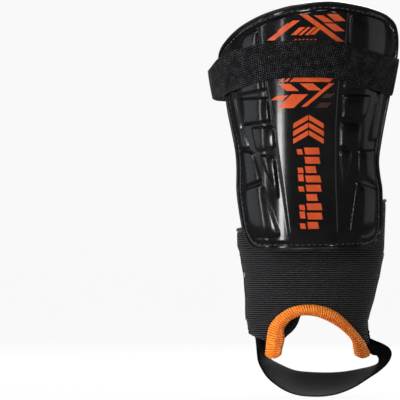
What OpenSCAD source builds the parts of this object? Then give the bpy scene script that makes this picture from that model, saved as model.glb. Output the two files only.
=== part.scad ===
// Football shin guard with a knit ankle sleeve, a stirrup under the foot and a calf strap.
// X runs to the viewer's right, Y runs backwards from the guard's front, Z runs up.
// Z is 0 at the lowest point of the stirrup, and the leg's axis is X = 0, Y = 0.

/* [Shell] */
// Radius of the shell's face at its lower edge
shell_low_r = 70; // [60:0.5:80]
// Growth of that radius for each mm of height
shell_slope = 0.045; // [0:0.005:0.08]
// Height of the shell's lower edge
shell_low_z = 117; // [110:0.5:125]
// Thickness of the moulded front skin
skin_t = 2; // [1:0.1:3]
// Height of the side cells above the skin
cell_h = 2.2; // [1:0.1:3]
// Height of the middle panel above the skin
panel_h = 1; // [0.4:0.1:2]
// Thickness of the stiff plate behind the skin
plate_t = 1.8; // [1:0.1:2.5]
// Depth from the face to the back of the foam
foam_depth = 10; // [8:0.5:13]
// Thickness of the knit lining
lining_t = 1; // [0.6:0.1:2]
// Width of the rolled edge binding
binding_w = 3.2; // [2:0.1:5]

/* [Print] */
// Thickness of the printed film
ink_t = 0.25; // [0.15:0.05:0.4]
// Rows of slanted shards
shard_rows = 11; // [6:1:14]
// Slant of the shards, sideways for each mm of rise
shard_slant = 0.45; // [0:0.05:0.8]

/* [Strap] */
// Gap between the shell's face and the strap
strap_gap = 3; // [2.6:0.1:4]
// Thickness of the strap
strap_t = 1.8; // [1.2:0.1:2.5]
// Angle of the strap's pivot at the right edge of the shell
pivot_right = 58; // [54:0.5:62]
// Angle of the tab's pivot at the left side of the leg
pivot_left = -94; // [-98:0.5:-90]

/* [Sleeve] */
// Thickness of the knit sleeve
knit_t = 1.8; // [1.2:0.1:2.5]
// Height of the line the sleeve folds about
fold_z = 117; // [112:0.5:122]
// Distance of the sleeve's middle line in front of the leg's axis
sleeve_y = -10; // [-16:0.5:-4]
// Thickness of the ankle pads
pad_t = 5; // [3:0.5:8]
// Radius of the ankle pads
pad_r = 19; // [15:0.5:21]

/* [Stirrup] */
// Thickness of the stirrup band
stirrup_t = 2.2; // [1.5:0.1:3]

/* [Hidden] */
$fn = 48;

black = [0.05, 0.05, 0.055];
slate = [0.12, 0.13, 0.15];
orange = [0.9, 0.38, 0.13];
grey = [0.3, 0.3, 0.31];

// The shell's edge seen from the front, as X and Z, clockwise from its upper left
edge_points = [[-72.8, 272], [-69.6, 283.2], [-57.6, 296], [-41.6, 305.2], [-25.6, 310.8], [-9.6, 314.4],
    [14.4, 316.8], [38.4, 314], [54.4, 310], [62.4, 306.4], [68.8, 300], [71.2, 288], [70.4, 272.8],
    [67.2, 256], [64, 240], [60.8, 224], [57.6, 206.4], [55.4, 190.4], [56.4, 178], [58.2, 166],
    [58.4, 142.4], [57.6, 132], [55.2, 125.6], [50.4, 121.2], [42.4, 119], [22.4, 118], [-1.6, 117.6],
    [-37.6, 117.6], [-43.6, 118.6], [-48.4, 121.8], [-51.4, 126.6], [-53.8, 133], [-56.8, 150.4],
    [-58.6, 166.4], [-58.6, 182.4], [-59.4, 196], [-62.4, 212.8], [-65.6, 228.8], [-67.6, 243], [-70.6, 258.4]];

// Raised cells seen from the front, left side then right side
cells = [
    [[-57, 272], [-57.6, 282], [-51, 290], [-42, 294.4], [-41, 272]],
    [[-65.6, 270.8], [-65.6, 278.4], [-60, 280.8], [-59.4, 270.8]],
    [[-60, 264.8], [-36.8, 265.6], [-35.6, 246.4], [-57.6, 242.4]],
    [[-56, 239.2], [-33, 240], [-32, 221.6], [-52.6, 218.4]],
    [[-46.4, 216], [-28.8, 216.8], [-28, 200], [-42.4, 197.6]],
    [[-40, 194.4], [-28.4, 192], [-25, 158]],
    [[-66.8, 265.6], [-62.6, 265.6], [-59.6, 241], [-54.6, 217], [-47.6, 199], [-56.4, 201], [-61.8, 226]],
    [[-56, 197.6], [-45.6, 196.8], [-38.4, 174.4], [-52, 168.8]],
    [[-55.2, 164.8], [-38.4, 171.2], [-24, 129.6], [-44.8, 129.6], [-51.2, 145.6]],
    [[31.2, 305.6], [46.4, 305.6], [60.4, 301.4], [66.4, 295], [67.6, 282.4], [62.4, 273.6], [31.2, 272.8]],
    [[28.8, 268.8], [56.8, 268.8], [52, 248.8], [26.4, 246.4]],
    [[26.4, 241.6], [48, 241.6], [44, 224.8], [25.6, 223.2]],
    [[24, 218.4], [40.8, 218.4], [38.4, 202.4], [24, 200]],
    [[23.2, 196.8], [32.8, 196.8], [26.4, 166.4]],
    [[62.6, 269.6], [65.6, 269], [60.4, 238.4], [54.4, 206.4], [46.8, 206.4], [52.8, 238.4]],
    [[38.4, 197.6], [52, 198.4], [53.4, 170.4], [38.4, 178.4]],
    [[36.8, 172.8], [54, 166.4], [52.8, 138.4], [46.4, 132], [31.2, 132]]];

// The middle panel seen from the front
panel = [[-40.8, 298.4], [-25.6, 305], [-8, 309], [14.4, 310.8], [30.4, 309.6], [28.8, 290.4], [24.8, 270.4],
    [21.6, 246.4], [20, 218.4], [20, 174.4], [21.6, 130.4], [-16.8, 129.6], [-21.6, 166.4], [-26.4, 198.4],
    [-30.4, 226.4], [-34.4, 246.4], [-38.4, 270.4]];

function face_r(z) = shell_low_r + shell_slope * (z - shell_low_z);
function spline(a, b, c, d, t) = 0.5 * (2 * b + (c - a) * t + (2 * a - 5 * b + 4 * c - d) * t * t
    + (3 * b - a - 3 * c + d) * t * t * t);
function smooth_loop(p, k) = let (n = len(p)) [for (i = [0 : n - 1]) for (j = [0 : k - 1])
    spline(p[(i + n - 1) % n], p[i], p[(i + 1) % n], p[(i + 2) % n], j / k)];
function smooth_open(p, k) = let (n = len(p)) concat([for (i = [0 : n - 2]) for (j = [0 : k - 1])
    spline(p[max(i - 1, 0)], p[i], p[i + 1], p[min(i + 2, n - 1)], j / k)], [p[n - 1]]);

// The edge laid flat, so that a width measured on it is true on the curved shell
flat_edge = [for (p = smooth_loop(edge_points, 2)) [asin(p[0] / face_r(p[1])) * face_r(p[1]) * PI / 180, p[1]]];
function inset(p, w) = let (n = len(p)) [for (i = [0 : n - 1])
    let (t = p[(i + 1) % n] - p[(i + n - 1) % n], m = norm(t)) p[i] + w * [t[1], -t[0]] / m];
function project(p, depth) = [for (q = p) [(face_r(q[1]) - depth) * sin(q[0] / face_r(q[1]) * 180 / PI), q[1]]];
function outline(w, depth) = project(inset(flat_edge, w), depth);

module ring(depth_out, depth_in) {
    low = shell_low_z - 10;
    tall = 220;
    difference() {
        translate([0, 0, low])
            cylinder(h = tall, r1 = face_r(low) - depth_out, r2 = face_r(low + tall) - depth_out, $fn = 96);
        translate([0, 0, low])
            cylinder(h = tall, r1 = face_r(low) - depth_in, r2 = face_r(low + tall) - depth_in, $fn = 96);
    }
}

module front_prism() {
    rotate([90, 0, 0])
        linear_extrude(height = 120)
            children();
}

module back_prism() {
    translate([0, 120, 0])
        rotate([90, 0, 0])
            linear_extrude(height = 120)
                children();
}

module layer(depth_out, depth_in) {
    intersection() {
        ring(depth_out, depth_in);
        front_prism() children();
    }
}

module layer_plate(w, depth_out, depth_in) {
    layer(depth_out, depth_in) polygon(outline(w, (depth_out + depth_in) / 2));
}

module outer_shell() color(black) {
    union() {
        layer_plate(binding_w + 1.9, 0, skin_t);
        layer(-panel_h, 0.5)
            intersection() {
                polygon(outline(6.8, 0));
                polygon(panel);
            }
        layer(-cell_h, 0.5)
            intersection() {
                polygon(outline(6.8, 0));
                for (c = cells) polygon(c);
            }
    }
}

module stiffener_plate() color(grey)
    layer(skin_t + 0.2, skin_t + 0.2 + plate_t)
        polygon(project([for (q = flat_edge) [q[0] * 0.86, 217 + (q[1] - 217) * 0.9]], skin_t));

// The foam is stacked from three thin layers, so that its edge stays square to the curved face
module foam_backing() color(grey) {
    top = skin_t + plate_t + 0.4;
    sheet_t = (foam_depth - top) / 3;
    union() {
        for (i = [0 : 2])
            layer_plate(binding_w + 2.6, top + i * sheet_t - (i > 0 ? 0.1 : 0), top + (i + 1) * sheet_t);
    }
}

module lining() color(slate)
    layer_plate(binding_w + 1.5, foam_depth + 0.2, foam_depth + 0.2 + lining_t);

// The binding is swept round the edge with a rounded section, deep enough to wrap every layer
function edge_normal(p) = let (a = p[0] / face_r(p[1]) * 180 / PI) [sin(a), -cos(a), 0];
function on_face(p, depth) = let (a = p[0] / face_r(p[1]) * 180 / PI, r = face_r(p[1]) - depth)
    [r * sin(a), -r * cos(a), p[1]];
binding_section = [[0.6, -0.9], [0, 0.2], [0, 9.4], [0.6, 11.2], [2.4, 11.8], [2.9, 11], [2.9, 0], [2.3, -1]];

module loop_sweep(section) {
    n = len(flat_edge);
    m = len(section);
    rings = [for (s = section) inset(flat_edge, s[0])];
    points = [for (i = [0 : n - 1]) for (j = [0 : m - 1]) on_face(rings[j][i], section[j][1])];
    faces = [for (i = [0 : n - 1]) for (j = [0 : m - 1])
        let (a = i * m + j, b = i * m + (j + 1) % m, c = ((i + 1) % n) * m + (j + 1) % m, d = ((i + 1) % n) * m + j)
        each [[a, b, c], [a, c, d]]];
    polyhedron(points, faces);
}

module edge_binding() color(black)
    loop_sweep(binding_section);

module rim_stitching() color(slate)
    loop_sweep([[5.3, -0.9], [4.6, -0.9], [4.6, -1.4], [5.3, -1.4]]);

module ink(points_list) {
    layer(-panel_h - ink_t - 0.05, -panel_h - 0.05) for (p = points_list) polygon(p);
}

function panel_left(z) = -33 - 0.12 * (z - 226);
function panel_right(z) = 18 + 0.09 * (z - 226);
function shard(x, z, w, h) = [[x, z], [x + w, z], [x + w + shard_slant * h, z + h], [x + shard_slant * h, z + h]];
shards = [for (i = [0 : shard_rows - 1]) for (j = [0 : 3])
    let (z = 230 + i * 6.6, left = panel_left(z) + 3, wide = panel_right(z) - panel_left(z) - 9)
    shard(left + (j + (i % 2) * 0.3) * wide / 4.3, z, wide / 4.3 - 2.6, 4.6 + (i * 3 + j * 2) % 3 * 0.6)];

module shard_print() color(orange)
    ink(shards);

module badge_print() color(orange)
    ink([[[-17, 214], [-11, 214], [-3, 222], [5, 214], [11, 214], [-3, 228]],
        [[-9, 210], [3, 210], [-3, 216]]]);

module column_print() color(orange)
    ink([for (i = [0 : 5]) shard(-8 + 0.6 * i, 144 + i * 9.6, 13 - (i % 2) * 3, 6.4)]);

// Strap: one smooth path seen from above, made thick and lifted between two heights
function around(angle, r) = [r * sin(angle), -r * cos(angle)];
function side_step(p, i, w) = let (n = len(p), t = p[min(i + 1, n - 1)] - p[max(i - 1, 0)])
    p[i] + w / norm(t) * [-t[1], t[0]];
function thick(p, w) = concat([for (i = [0 : len(p) - 1]) side_step(p, i, w / 2)],
    [for (i = [len(p) - 1 : -1 : 0]) side_step(p, i, -w / 2)]);
function arc(a, b, r, n) = [for (i = [0 : n]) around(a + (b - a) * i / n, r)];

module upright(path, w, low, high) {
    translate([0, 0, low])
        linear_extrude(height = high - low)
            polygon(thick(path, w));
}

strap_low = 242;
strap_high = 271;
strap_mid_r = face_r(257) + strap_gap + strap_t / 2;
anchor_r = face_r(strap_high) + strap_gap + strap_t / 2;
back_r = face_r(strap_low) - foam_depth - lining_t - 1.6;

module strap_anchor() color(black)
    upright(smooth_open([around(pivot_right + 1.4, anchor_r), around(61.5, anchor_r), around(64.2, anchor_r - 0.8),
        around(66.8, anchor_r - 4), around(67.4, anchor_r - 9), around(67, back_r + 4), around(64.6, back_r + 0.4),
        around(60, back_r), around(54, back_r), around(48, back_r)], 3), strap_t, strap_low + 1, strap_high);

module anchor_stitching() color(slate)
    for (a = [50, 53])
        upright(arc(a, a + 0.8, back_r - strap_t / 2 - 0.4, 2), 0.6, strap_low + 3, strap_high - 2);

calf_low = 239;
calf_high = 267;
calf_r = face_r(calf_low) - 0.4;
calf_path = smooth_open(concat([around(46, back_r - 2.7), around(56, back_r - 3), [57, -14], [60.5, 3], [57, 23],
    [43, 43], [20, 55], [-8, 58], [-36, 54]], arc(-126, -98, calf_r, 6)), 4);

module calf_band() color(black)
    upright(calf_path, strap_t, calf_low, calf_high);

module calf_loop_patch() color(slate)
    upright(arc(-117, -99, calf_r + strap_t / 2 + 0.8, 8), 0.7, calf_low + 1, calf_high - 1);

// Upper and lower edges of the strap where it crosses the front
strap_top = smooth_open([[-84, 268], [-74.4, 273.6], [-62, 277.4], [-42.4, 281.6], [-18.4, 285], [0, 285.2],
    [21.6, 283.6], [45.6, 279.6], [61.6, 275.2], [76, 271.4]], 3);
strap_bottom = smooth_open([[76, 242.2], [64, 246.4], [53.6, 250.6], [33.6, 255.2], [9.6, 257], [-14.4, 255.6],
    [-38.4, 250.4], [-56, 243.4], [-66, 240], [-84, 240]], 3);

module wedge(from, to) {
    reach = 130;
    polygon(concat([[0, 0]], [for (i = [0 : 8]) around(from + (to - from) * i / 8, reach)]));
}

module strap_band() color(black)
    intersection() {
        ring(-strap_gap - strap_t, -strap_gap);
        translate([0, 10, 0])
            rotate([90, 0, 0])
                linear_extrude(height = 110)
                    polygon(concat(strap_top, strap_bottom));
        translate([0, 0, 200])
            linear_extrude(height = 110)
                union() {
                    wedge(pivot_left + 1.2, -20);
                    wedge(-21, pivot_right - 1.2);
                }
    }

module strap_stitching() color(slate)
    for (a = [-86, -82, -78])
        intersection() {
            ring(-strap_gap - strap_t - 0.6, -strap_gap - strap_t - 0.05);
            translate([0, 0, 243])
                linear_extrude(height = 23)
                    wedge(a, a + 0.7);
        }

tab_r = strap_mid_r - 0.6;

module tab_band() color(black)
    upright(arc(-119, pivot_left - 1.2, tab_r, 8), strap_t, strap_low - 1, strap_high - 3);

module hook_patch() color(grey)
    upright(arc(-117, pivot_left - 5, tab_r - strap_t / 2 - 0.45, 8), 0.7, strap_low + 1, strap_high - 5);

module tab_stitching() color(slate)
    for (a = [-117, -98])
        upright(arc(a, a + 0.8, tab_r + strap_t / 2 + 0.35, 2), 0.5, strap_low + 1, strap_high - 5);

// Sleeve: oval rings stacked from the shell's lower part to the ankle bone
function half_wide(z) = z > 117 ? 59 : z > 62 ? 49 + 10 * (z - 62) / 55 : z > 48 ? 46.4 + 2.6 * (z - 48) / 14 : 46.4;
function middle_x(z) = z > 117 ? 1.6 : z > 62 ? -3.6 + 5.2 * (z - 62) / 55 : z > 48 ? -1 - 2.6 * (z - 48) / 14 : -1;
function half_deep(z, front) = (front ? 39 : 36) - (z < 62 ? 2 : 0);
function oval(z, slope, depth, n) = [for (i = [0 : n - 1]) let (a = 360 * i / n)
    [middle_x(z) + (half_wide(z) - depth) * sin(a),
    sleeve_y - (half_deep(z, cos(a) > 0) - depth) * cos(a), z + slope * half_wide(z) * sin(a)]];

module tube(levels, out, inner, low_slope = 0, high_slope = 0) {
    n = 48;
    k = len(levels);
    slopes = [for (i = [0 : k - 1]) i < k - 1 ? low_slope : high_slope];
    points = concat([for (i = [0 : k - 1]) each oval(levels[i], slopes[i], out, n)],
        [for (i = [0 : k - 1]) each oval(levels[i], slopes[i], inner, n)]);
    function at(i, j, side) = side * k * n + i * n + (j + n) % n;
    faces = concat(
        [for (i = [0 : k - 2]) for (j = [0 : n - 1])
            each [[at(i, j, 0), at(i, j + 1, 0), at(i + 1, j + 1, 0)], [at(i, j, 0), at(i + 1, j + 1, 0), at(i + 1, j, 0)]]],
        [for (i = [0 : k - 2]) for (j = [0 : n - 1])
            each [[at(i, j, 1), at(i + 1, j + 1, 1), at(i, j + 1, 1)], [at(i, j, 1), at(i + 1, j, 1), at(i + 1, j + 1, 1)]]],
        [for (j = [0 : n - 1])
            each [[at(0, j, 0), at(0, j, 1), at(0, j + 1, 1)], [at(0, j, 0), at(0, j + 1, 1), at(0, j + 1, 0)]]],
        [for (j = [0 : n - 1])
            each [[at(k - 1, j, 0), at(k - 1, j + 1, 1), at(k - 1, j, 1)], [at(k - 1, j, 0), at(k - 1, j + 1, 0), at(k - 1, j + 1, 1)]]]);
    polyhedron(points, faces);
}

sleeve_levels = [34, 48, 62, 115.5];
yoke_slope = 0.18;
front_arch = smooth_open([[-38.4, 30], [-36.4, 38.4], [-33.6, 48], [-28, 61], [-22.4, 68], [-16, 71.4], [-5.6, 73.6],
    [4, 74], [13, 73.4], [21, 70.4], [29, 64], [36.8, 53.6], [43.2, 44.8], [46.5, 38], [48, 30]], 3);
hem_inside = smooth_open([[-25.6, 30], [-22.4, 40], [-20, 48], [-19.6, 53], [-16, 60], [-10, 64.2], [-4, 65.4],
    [2.4, 64.8], [8.8, 62.4], [18.4, 56.8], [26.4, 50.4], [32.8, 44], [34.6, 38], [37.4, 30]], 3);
heel_arch = smooth_open([[-35, 30], [-27, 42], [-19, 50], [-11, 57], [-5, 64], [3, 71], [14, 74], [26, 71],
    [36, 61], [42, 46], [44, 30]], 3);
function pull_in(p, w) = [for (i = [0 : len(p) - 1]) side_step(p, i, w)];

module sleeve_yoke() color(black)
    tube([128.5, 146], 0, knit_t, 0, yoke_slope);

module yoke_hem() color(slate)
    tube([146.2, 148.6], -0.6, knit_t + 0.4, yoke_slope, yoke_slope);

module yoke_stitching() color(slate)
    for (a = [-30 : 7.5 : 30])
        translate(concat(flank(a, 131, 1.2), [131]))
            cube([3, 0.5, 0.8], center = true);

module sleeve_flex() color(black)
    tube([115.9, 117, 128.1], 0, knit_t);

module sleeve_tube() color(black)
    difference() {
        tube(sleeve_levels, 0, knit_t);
        front_prism() polygon(front_arch);
        translate([0, 3, 0]) back_prism() polygon(heel_arch);
    }

module arch_hem() color(orange)
    intersection() {
        tube(sleeve_levels, -1.4, knit_t + 1.2);
        translate([0, -10, 0])
            front_prism()
                difference() {
                    polygon(pull_in(front_arch, -0.25));
                    polygon(hem_inside);
                }
    }

module heel_hem() color(slate)
    intersection() {
        tube(sleeve_levels, -0.5, knit_t + 0.5);
        translate([0, 3, 0])
            back_prism()
                difference() {
                    polygon(pull_in(heel_arch, -0.25));
                    polygon(pull_in(heel_arch, -3));
                }
    }

// A point outside the sleeve's wall by out, at an angle round it from the front
function flank(a, z, out) = [middle_x(z) + (half_wide(z) + out) * sin(a),
    sleeve_y - (half_deep(z, cos(a) > 0) + out) * cos(a)];

// A seam is one straight ridge, leaning with the side of the sleeve
module seam(side) {
    top = flank(side * 90, 113, 0.5);
    low = flank(side * 90, 64, 0.5);
    lean = atan((top[0] - low[0]) / 49);
    translate([low[0], sleeve_y, 64])
        rotate([0, lean, 0])
            translate([-0.3, -0.8, 0])
                cube([0.6, 1.6, 49]);
}

module side_seam_inner() color(slate)
    seam(-1);

module side_seam_outer() color(slate)
    seam(1);

module pad_slice(x, out, inner, r) {
    intersection() {
        tube([62, 107], out, inner);
        translate([x, sleeve_y, 84])
            rotate([0, 90, 0])
                cylinder(h = 36, r = r, center = true);
    }
}

module ankle_pad_inner() color(grey)
    pad_slice(-50, knit_t + 0.3, knit_t + 0.3 + pad_t, pad_r);

module ankle_pad_outer() color(grey)
    pad_slice(50, knit_t + 0.3, knit_t + 0.3 + pad_t, pad_r);

module pad_cover_inner() color(slate)
    pad_slice(-50, knit_t + 0.7 + pad_t, knit_t + 1.7 + pad_t, pad_r + 2.3);

module pad_cover_outer() color(slate)
    pad_slice(50, knit_t + 0.7 + pad_t, knit_t + 1.7 + pad_t, pad_r + 2.3);

// Stirrup: each row is the front edge's X and Z, the back edge's X and Z, then their two Y positions
stirrup_rows = [[-48.6, 45, -48.6, 45, -20, 0], [-48.6, 37, -48.6, 37, -22, 2], [-48.4, 29.4, -48.4, 29.8, -25, 4],
    [-43, 22, -42, 25.8, -29, 6], [-35, 14.8, -32, 23.4, -33, 8], [-26, 9, -22, 22, -36, 9],
    [-18, 5.4, -12, 20.8, -38, 10], [-9, 3, -3, 20, -39, 11], [0, 2.3, 6, 19.6, -40, 11], [10, 2.4, 15, 19.4, -39, 11],
    [22, 4.4, 24, 19.6, -38, 10], [34, 8.2, 33, 20.4, -36, 9], [45, 15, 42, 22.6, -33, 8], [52.6, 23, 49.6, 26.6, -29, 6],
    [56.8, 31, 54, 32, -25, 4], [56.6, 37.6, 54.6, 38, -23, 2], [52.6, 42, 51.4, 42, -21, 1],
    [47.4, 44.6, 47.4, 44.6, -20, 0]];

function outward(rows, i, k) = let (n = len(rows), a = rows[max(i - 1, 0)], b = rows[min(i + 1, n - 1)],
    t = [b[k] - a[k], b[k + 1] - a[k + 1]]) [t[1], -t[0]] / norm(t);

module stirrup_band() color(slate) {
    n = len(stirrup_rows);
    points = [for (i = [0 : n - 1]) let (r = stirrup_rows[i], f = outward(stirrup_rows, i, 0) * stirrup_t,
            b = outward(stirrup_rows, i, 2) * stirrup_t)
        each [[r[0], r[4], r[1]], [r[0] + f[0], r[4], r[1] + f[1]], [r[2] + b[0], r[5], r[3] + b[1]], [r[2], r[5], r[3]]]];
    faces = concat(
        [for (i = [0 : n - 2]) for (j = [0 : 3]) let (a = i * 4 + j, b = i * 4 + (j + 1) % 4, c = b + 4, d = a + 4)
            each [[a, c, b], [a, d, c]]],
        [[0, 1, 2], [0, 2, 3], [4 * n - 4, 4 * n - 2, 4 * n - 3], [4 * n - 4, 4 * n - 1, 4 * n - 2]]);
    polyhedron(points, faces);
}

module bartack_left() color(grey)
    for (z = [35, 41])
        translate([-48.6 - stirrup_t - 0.7, sleeve_y - 6, z])
            cube([0.6, 12, 1.6]);

module bartack_right() color(grey)
    for (z = [31.4, 34.6])
        translate([57.6 + stirrup_t, sleeve_y - 6, z])
            cube([0.6, 12, 1.6]);

outer_shell();
stiffener_plate();
foam_backing();
lining();
edge_binding();
rim_stitching();
shard_print();
badge_print();
column_print();
strap_anchor();
anchor_stitching();
calf_band();
calf_loop_patch();
strap_band();
strap_stitching();
tab_band();
hook_patch();
tab_stitching();
sleeve_yoke();
yoke_hem();
yoke_stitching();
sleeve_flex();
sleeve_tube();
arch_hem();
heel_hem();
side_seam_inner();
side_seam_outer();
ankle_pad_inner();
ankle_pad_outer();
pad_cover_inner();
pad_cover_outer();
stirrup_band();
bartack_left();
bartack_right();
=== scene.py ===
# %% [markdown]
# # A football shin guard with an ankle sleeve
# The guard is a moulded front skin over a stiff plate and foam, edged with a smooth rolled binding. A strap
# crosses its front and closes round the calf. A knit sleeve hangs below it, with a bound arch over the
# instep and an elastic stirrup under the foot. The CAD frame gives every place and size in metres, and this
# script only adds the looks.

# %% Load the frame
import math
import bpy
import bmesh
import numpy as np
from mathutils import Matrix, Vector


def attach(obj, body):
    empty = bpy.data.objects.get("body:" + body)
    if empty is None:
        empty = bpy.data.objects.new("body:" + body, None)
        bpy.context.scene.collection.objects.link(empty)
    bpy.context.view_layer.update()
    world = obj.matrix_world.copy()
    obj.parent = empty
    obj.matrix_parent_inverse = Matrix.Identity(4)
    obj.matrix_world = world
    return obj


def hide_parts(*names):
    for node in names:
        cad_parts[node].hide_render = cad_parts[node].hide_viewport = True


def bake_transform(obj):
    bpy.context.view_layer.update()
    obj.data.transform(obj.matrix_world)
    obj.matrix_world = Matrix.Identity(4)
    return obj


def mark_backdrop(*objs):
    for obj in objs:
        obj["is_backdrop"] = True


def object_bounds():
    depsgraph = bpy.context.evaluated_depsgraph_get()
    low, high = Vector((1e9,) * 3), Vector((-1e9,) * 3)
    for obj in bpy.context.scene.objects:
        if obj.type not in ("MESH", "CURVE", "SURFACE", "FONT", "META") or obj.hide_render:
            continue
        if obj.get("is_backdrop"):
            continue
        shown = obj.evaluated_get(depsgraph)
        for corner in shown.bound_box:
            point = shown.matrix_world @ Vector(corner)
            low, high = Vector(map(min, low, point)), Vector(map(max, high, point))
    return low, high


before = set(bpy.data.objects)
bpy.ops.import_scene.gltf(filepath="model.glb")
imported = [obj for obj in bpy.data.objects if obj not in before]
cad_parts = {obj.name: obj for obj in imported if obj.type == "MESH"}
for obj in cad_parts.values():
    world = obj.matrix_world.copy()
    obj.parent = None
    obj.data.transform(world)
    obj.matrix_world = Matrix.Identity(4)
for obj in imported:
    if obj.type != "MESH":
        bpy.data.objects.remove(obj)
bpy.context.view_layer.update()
MM = 0.001

# %% [markdown]
# ## Camera, light and floor
# The guard is tall and narrow and is seen straight from the front, a little from its left, through a long
# lens that keeps its sides parallel. The camera comes first, so that each later step can be judged in the
# same view.
#
# Black gloss shows its surroundings more than its own colour, so the light is built round that. Narrow
# lamps at the left draw the long highlights, one large fill there lights the cloth without showing in the
# gloss, two lamps at the right edge the far side, and a front, a top and a rear lamp part the guard from
# the floor. The floor runs far back before it bends up into a wall. Floor and sky look bright to the camera
# and stay dim in the gloss.

# %% Camera
def in_scene(name, data):
    """A new object holding data, linked into the scene."""
    made = bpy.data.objects.new(name, data)
    bpy.context.scene.collection.objects.link(made)
    return made


camera_data = bpy.data.cameras.new("front_camera")
camera_data.lens = 450
camera_data.sensor_width = 36
camera = in_scene("front_camera", camera_data)
camera.location = (-0.088, -4.055, 0.1584)
camera.rotation_euler = (math.radians(90), 0, 0)
camera_data.clip_start = 0.05
bpy.context.scene.camera = camera
print("camera at", tuple(round(v, 3) for v in camera.location), "lens", camera_data.lens)


# %% Floor
FLOOR_HALF, FLOOR_NEAR, FLOOR_FAR, WALL_TOP = 11.0, -8.0, 5.2, 8.0
BEND, BEND_ROWS = 0.8, 24


def floor_profile():
    """The floor's (y, z) from near to far: level, then bent up into the wall."""
    profile = [(FLOOR_NEAR, 0.0), (FLOOR_FAR, 0.0)]
    for i in range(1, BEND_ROWS + 1):
        turn = math.pi / 2 * i / BEND_ROWS
        profile.append((FLOOR_FAR + BEND * math.sin(turn), BEND - BEND * math.cos(turn)))
    return profile + [(FLOOR_FAR + BEND, WALL_TOP)]


def glow_for(paint, ray, shade, share):
    """Mixes in a plain glow of this shade, by share, that only one kind of ray meets."""
    nodes, link = paint.node_tree.nodes, paint.node_tree.links.new
    surface = nodes["Material Output"].inputs["Surface"]
    before = surface.links[0].from_socket
    path, amount, glow, mix = (nodes.new("ShaderNode" + kind)
                               for kind in ("LightPath", "Math", "Emission", "MixShader"))
    amount.operation = "MULTIPLY"
    amount.inputs[1].default_value = share
    glow.inputs["Color"].default_value = (shade, shade, shade, 1)
    link(path.outputs[ray], amount.inputs[0])
    link(amount.outputs[0], mix.inputs[0])
    link(before, mix.inputs[1])
    link(glow.outputs[0], mix.inputs[2])
    link(mix.outputs[0], surface)


def floor_sheet():
    profile = floor_profile()
    verts = [(x, y, z) for y, z in profile for x in (-FLOOR_HALF, FLOOR_HALF)]
    faces = [(2 * i, 2 * i + 1, 2 * i + 3, 2 * i + 2) for i in range(len(profile) - 1)]
    mesh = bpy.data.meshes.new("floor")
    mesh.from_pydata(verts, [], faces)
    mesh.shade_smooth()
    sheet = in_scene("floor", mesh)
    sheet.location = (0, 0, -0.0005)
    paint = bpy.data.materials.new("pale_floor")
    paint.use_nodes = True
    shader = paint.node_tree.nodes["Principled BSDF"]
    shader.inputs["Base Color"].default_value = (0.93, 0.93, 0.93, 1)
    shader.inputs["Roughness"].default_value = 0.8
    glow_for(paint, "Is Camera Ray", 1.0, 0.93)
    glow_for(paint, "Is Glossy Ray", 0.07, 1.0)
    mesh.materials.append(paint)
    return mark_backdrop(sheet)


floor_sheet()
print("floor", 2 * FLOOR_HALF, "m wide, its wall at y =", FLOOR_FAR + BEND)

# %% Lamps
LAMPS = [  # name, place, what it faces, width and height, watts
    ("key_strip", (-0.72, -1.0, 0.08), (0, 0, 0.12), (0.12, 0.15), 0.75),
    ("key_line", (-0.64, -1.05, 0.25), (0, 0, 0.17), (0.025, 0.42), 0.22),
    ("left_box", (-1.15, -0.30, 0.16), (0, 0, 0.15), (0.5, 0.5), 0.42),
    ("left_edge", (-0.95, -0.62, 0.2), (0, 0, 0.17), (0.03, 0.5), 0.3),
    ("left_fill", (-1.1, -0.7, 0.25), (0, 0, 0.1), (0.6, 0.6), 15),
    ("right_box", (1.15, -0.12, 0.34), (0, 0, 0.17), (0.55, 0.8), 0.36),
    ("right_strip", (0.62, -1.15, 0.5), (0, 0, 0.2), (0.03, 0.4), 0.5),
    ("front_glint", (-0.30, -1.7, 1.0), (0, 0, 0.15), (0.35, 0.25), 4.5),
    ("top", (0.1, -0.1, 1.5), (0, 0, 0.2), (0.5, 0.5), 3),
    ("rear", (0.3, 1.0, 0.8), (0, 0, 0.2), (0.8, 0.8), 14)]


def soft_light(name, place, aim, size, power):
    data = bpy.data.lights.new(name, "AREA")
    data.shape, data.size, data.size_y, data.energy = "RECTANGLE", size[0], size[1], power
    lamp = in_scene(name, data)
    lamp.location = place
    lamp.rotation_euler = (Vector(aim) - Vector(place)).to_track_quat("-Z", "Y").to_euler()
    return lamp


lamps = {entry[0]: soft_light(*entry) for entry in LAMPS}
lamps["left_box"].data.color = (0.84, 0.92, 1.0)
lamps["left_fill"].visible_glossy = False
print(len(lamps), "lamps")

# %% Sky
SKY_COLOUR = (0.96, 0.97, 1.0, 1)
SKY_BASE, SKY_SEEN, SKY_IN_GLOSS = 0.22, 0.98, 0.03
world = bpy.data.worlds.new("studio")
world.use_nodes = True
sky, link = world.node_tree.nodes["Background"], world.node_tree.links.new
path, seen, mirrored, dimmed = (world.node_tree.nodes.new("ShaderNode" + kind)
                                for kind in ("LightPath", "Math", "Math", "Math"))
sky.inputs["Color"].default_value = SKY_COLOUR
seen.operation, mirrored.operation, dimmed.operation = "MULTIPLY_ADD", "MULTIPLY", "SUBTRACT"
seen.inputs[1].default_value, seen.inputs[2].default_value = SKY_SEEN - SKY_BASE, SKY_BASE
mirrored.inputs[1].default_value = SKY_BASE - SKY_IN_GLOSS
link(path.outputs["Is Camera Ray"], seen.inputs[0])
link(path.outputs["Is Glossy Ray"], mirrored.inputs[0])
link(seen.outputs[0], dimmed.inputs[0])
link(mirrored.outputs[0], dimmed.inputs[1])
link(dimmed.outputs[0], sky.inputs["Strength"])
bpy.context.scene.world = world
bpy.context.scene.view_settings.view_transform = "Standard"
print("sky strength", SKY_BASE, "seen", SKY_SEEN, "in gloss", SKY_IN_GLOSS)

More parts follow.
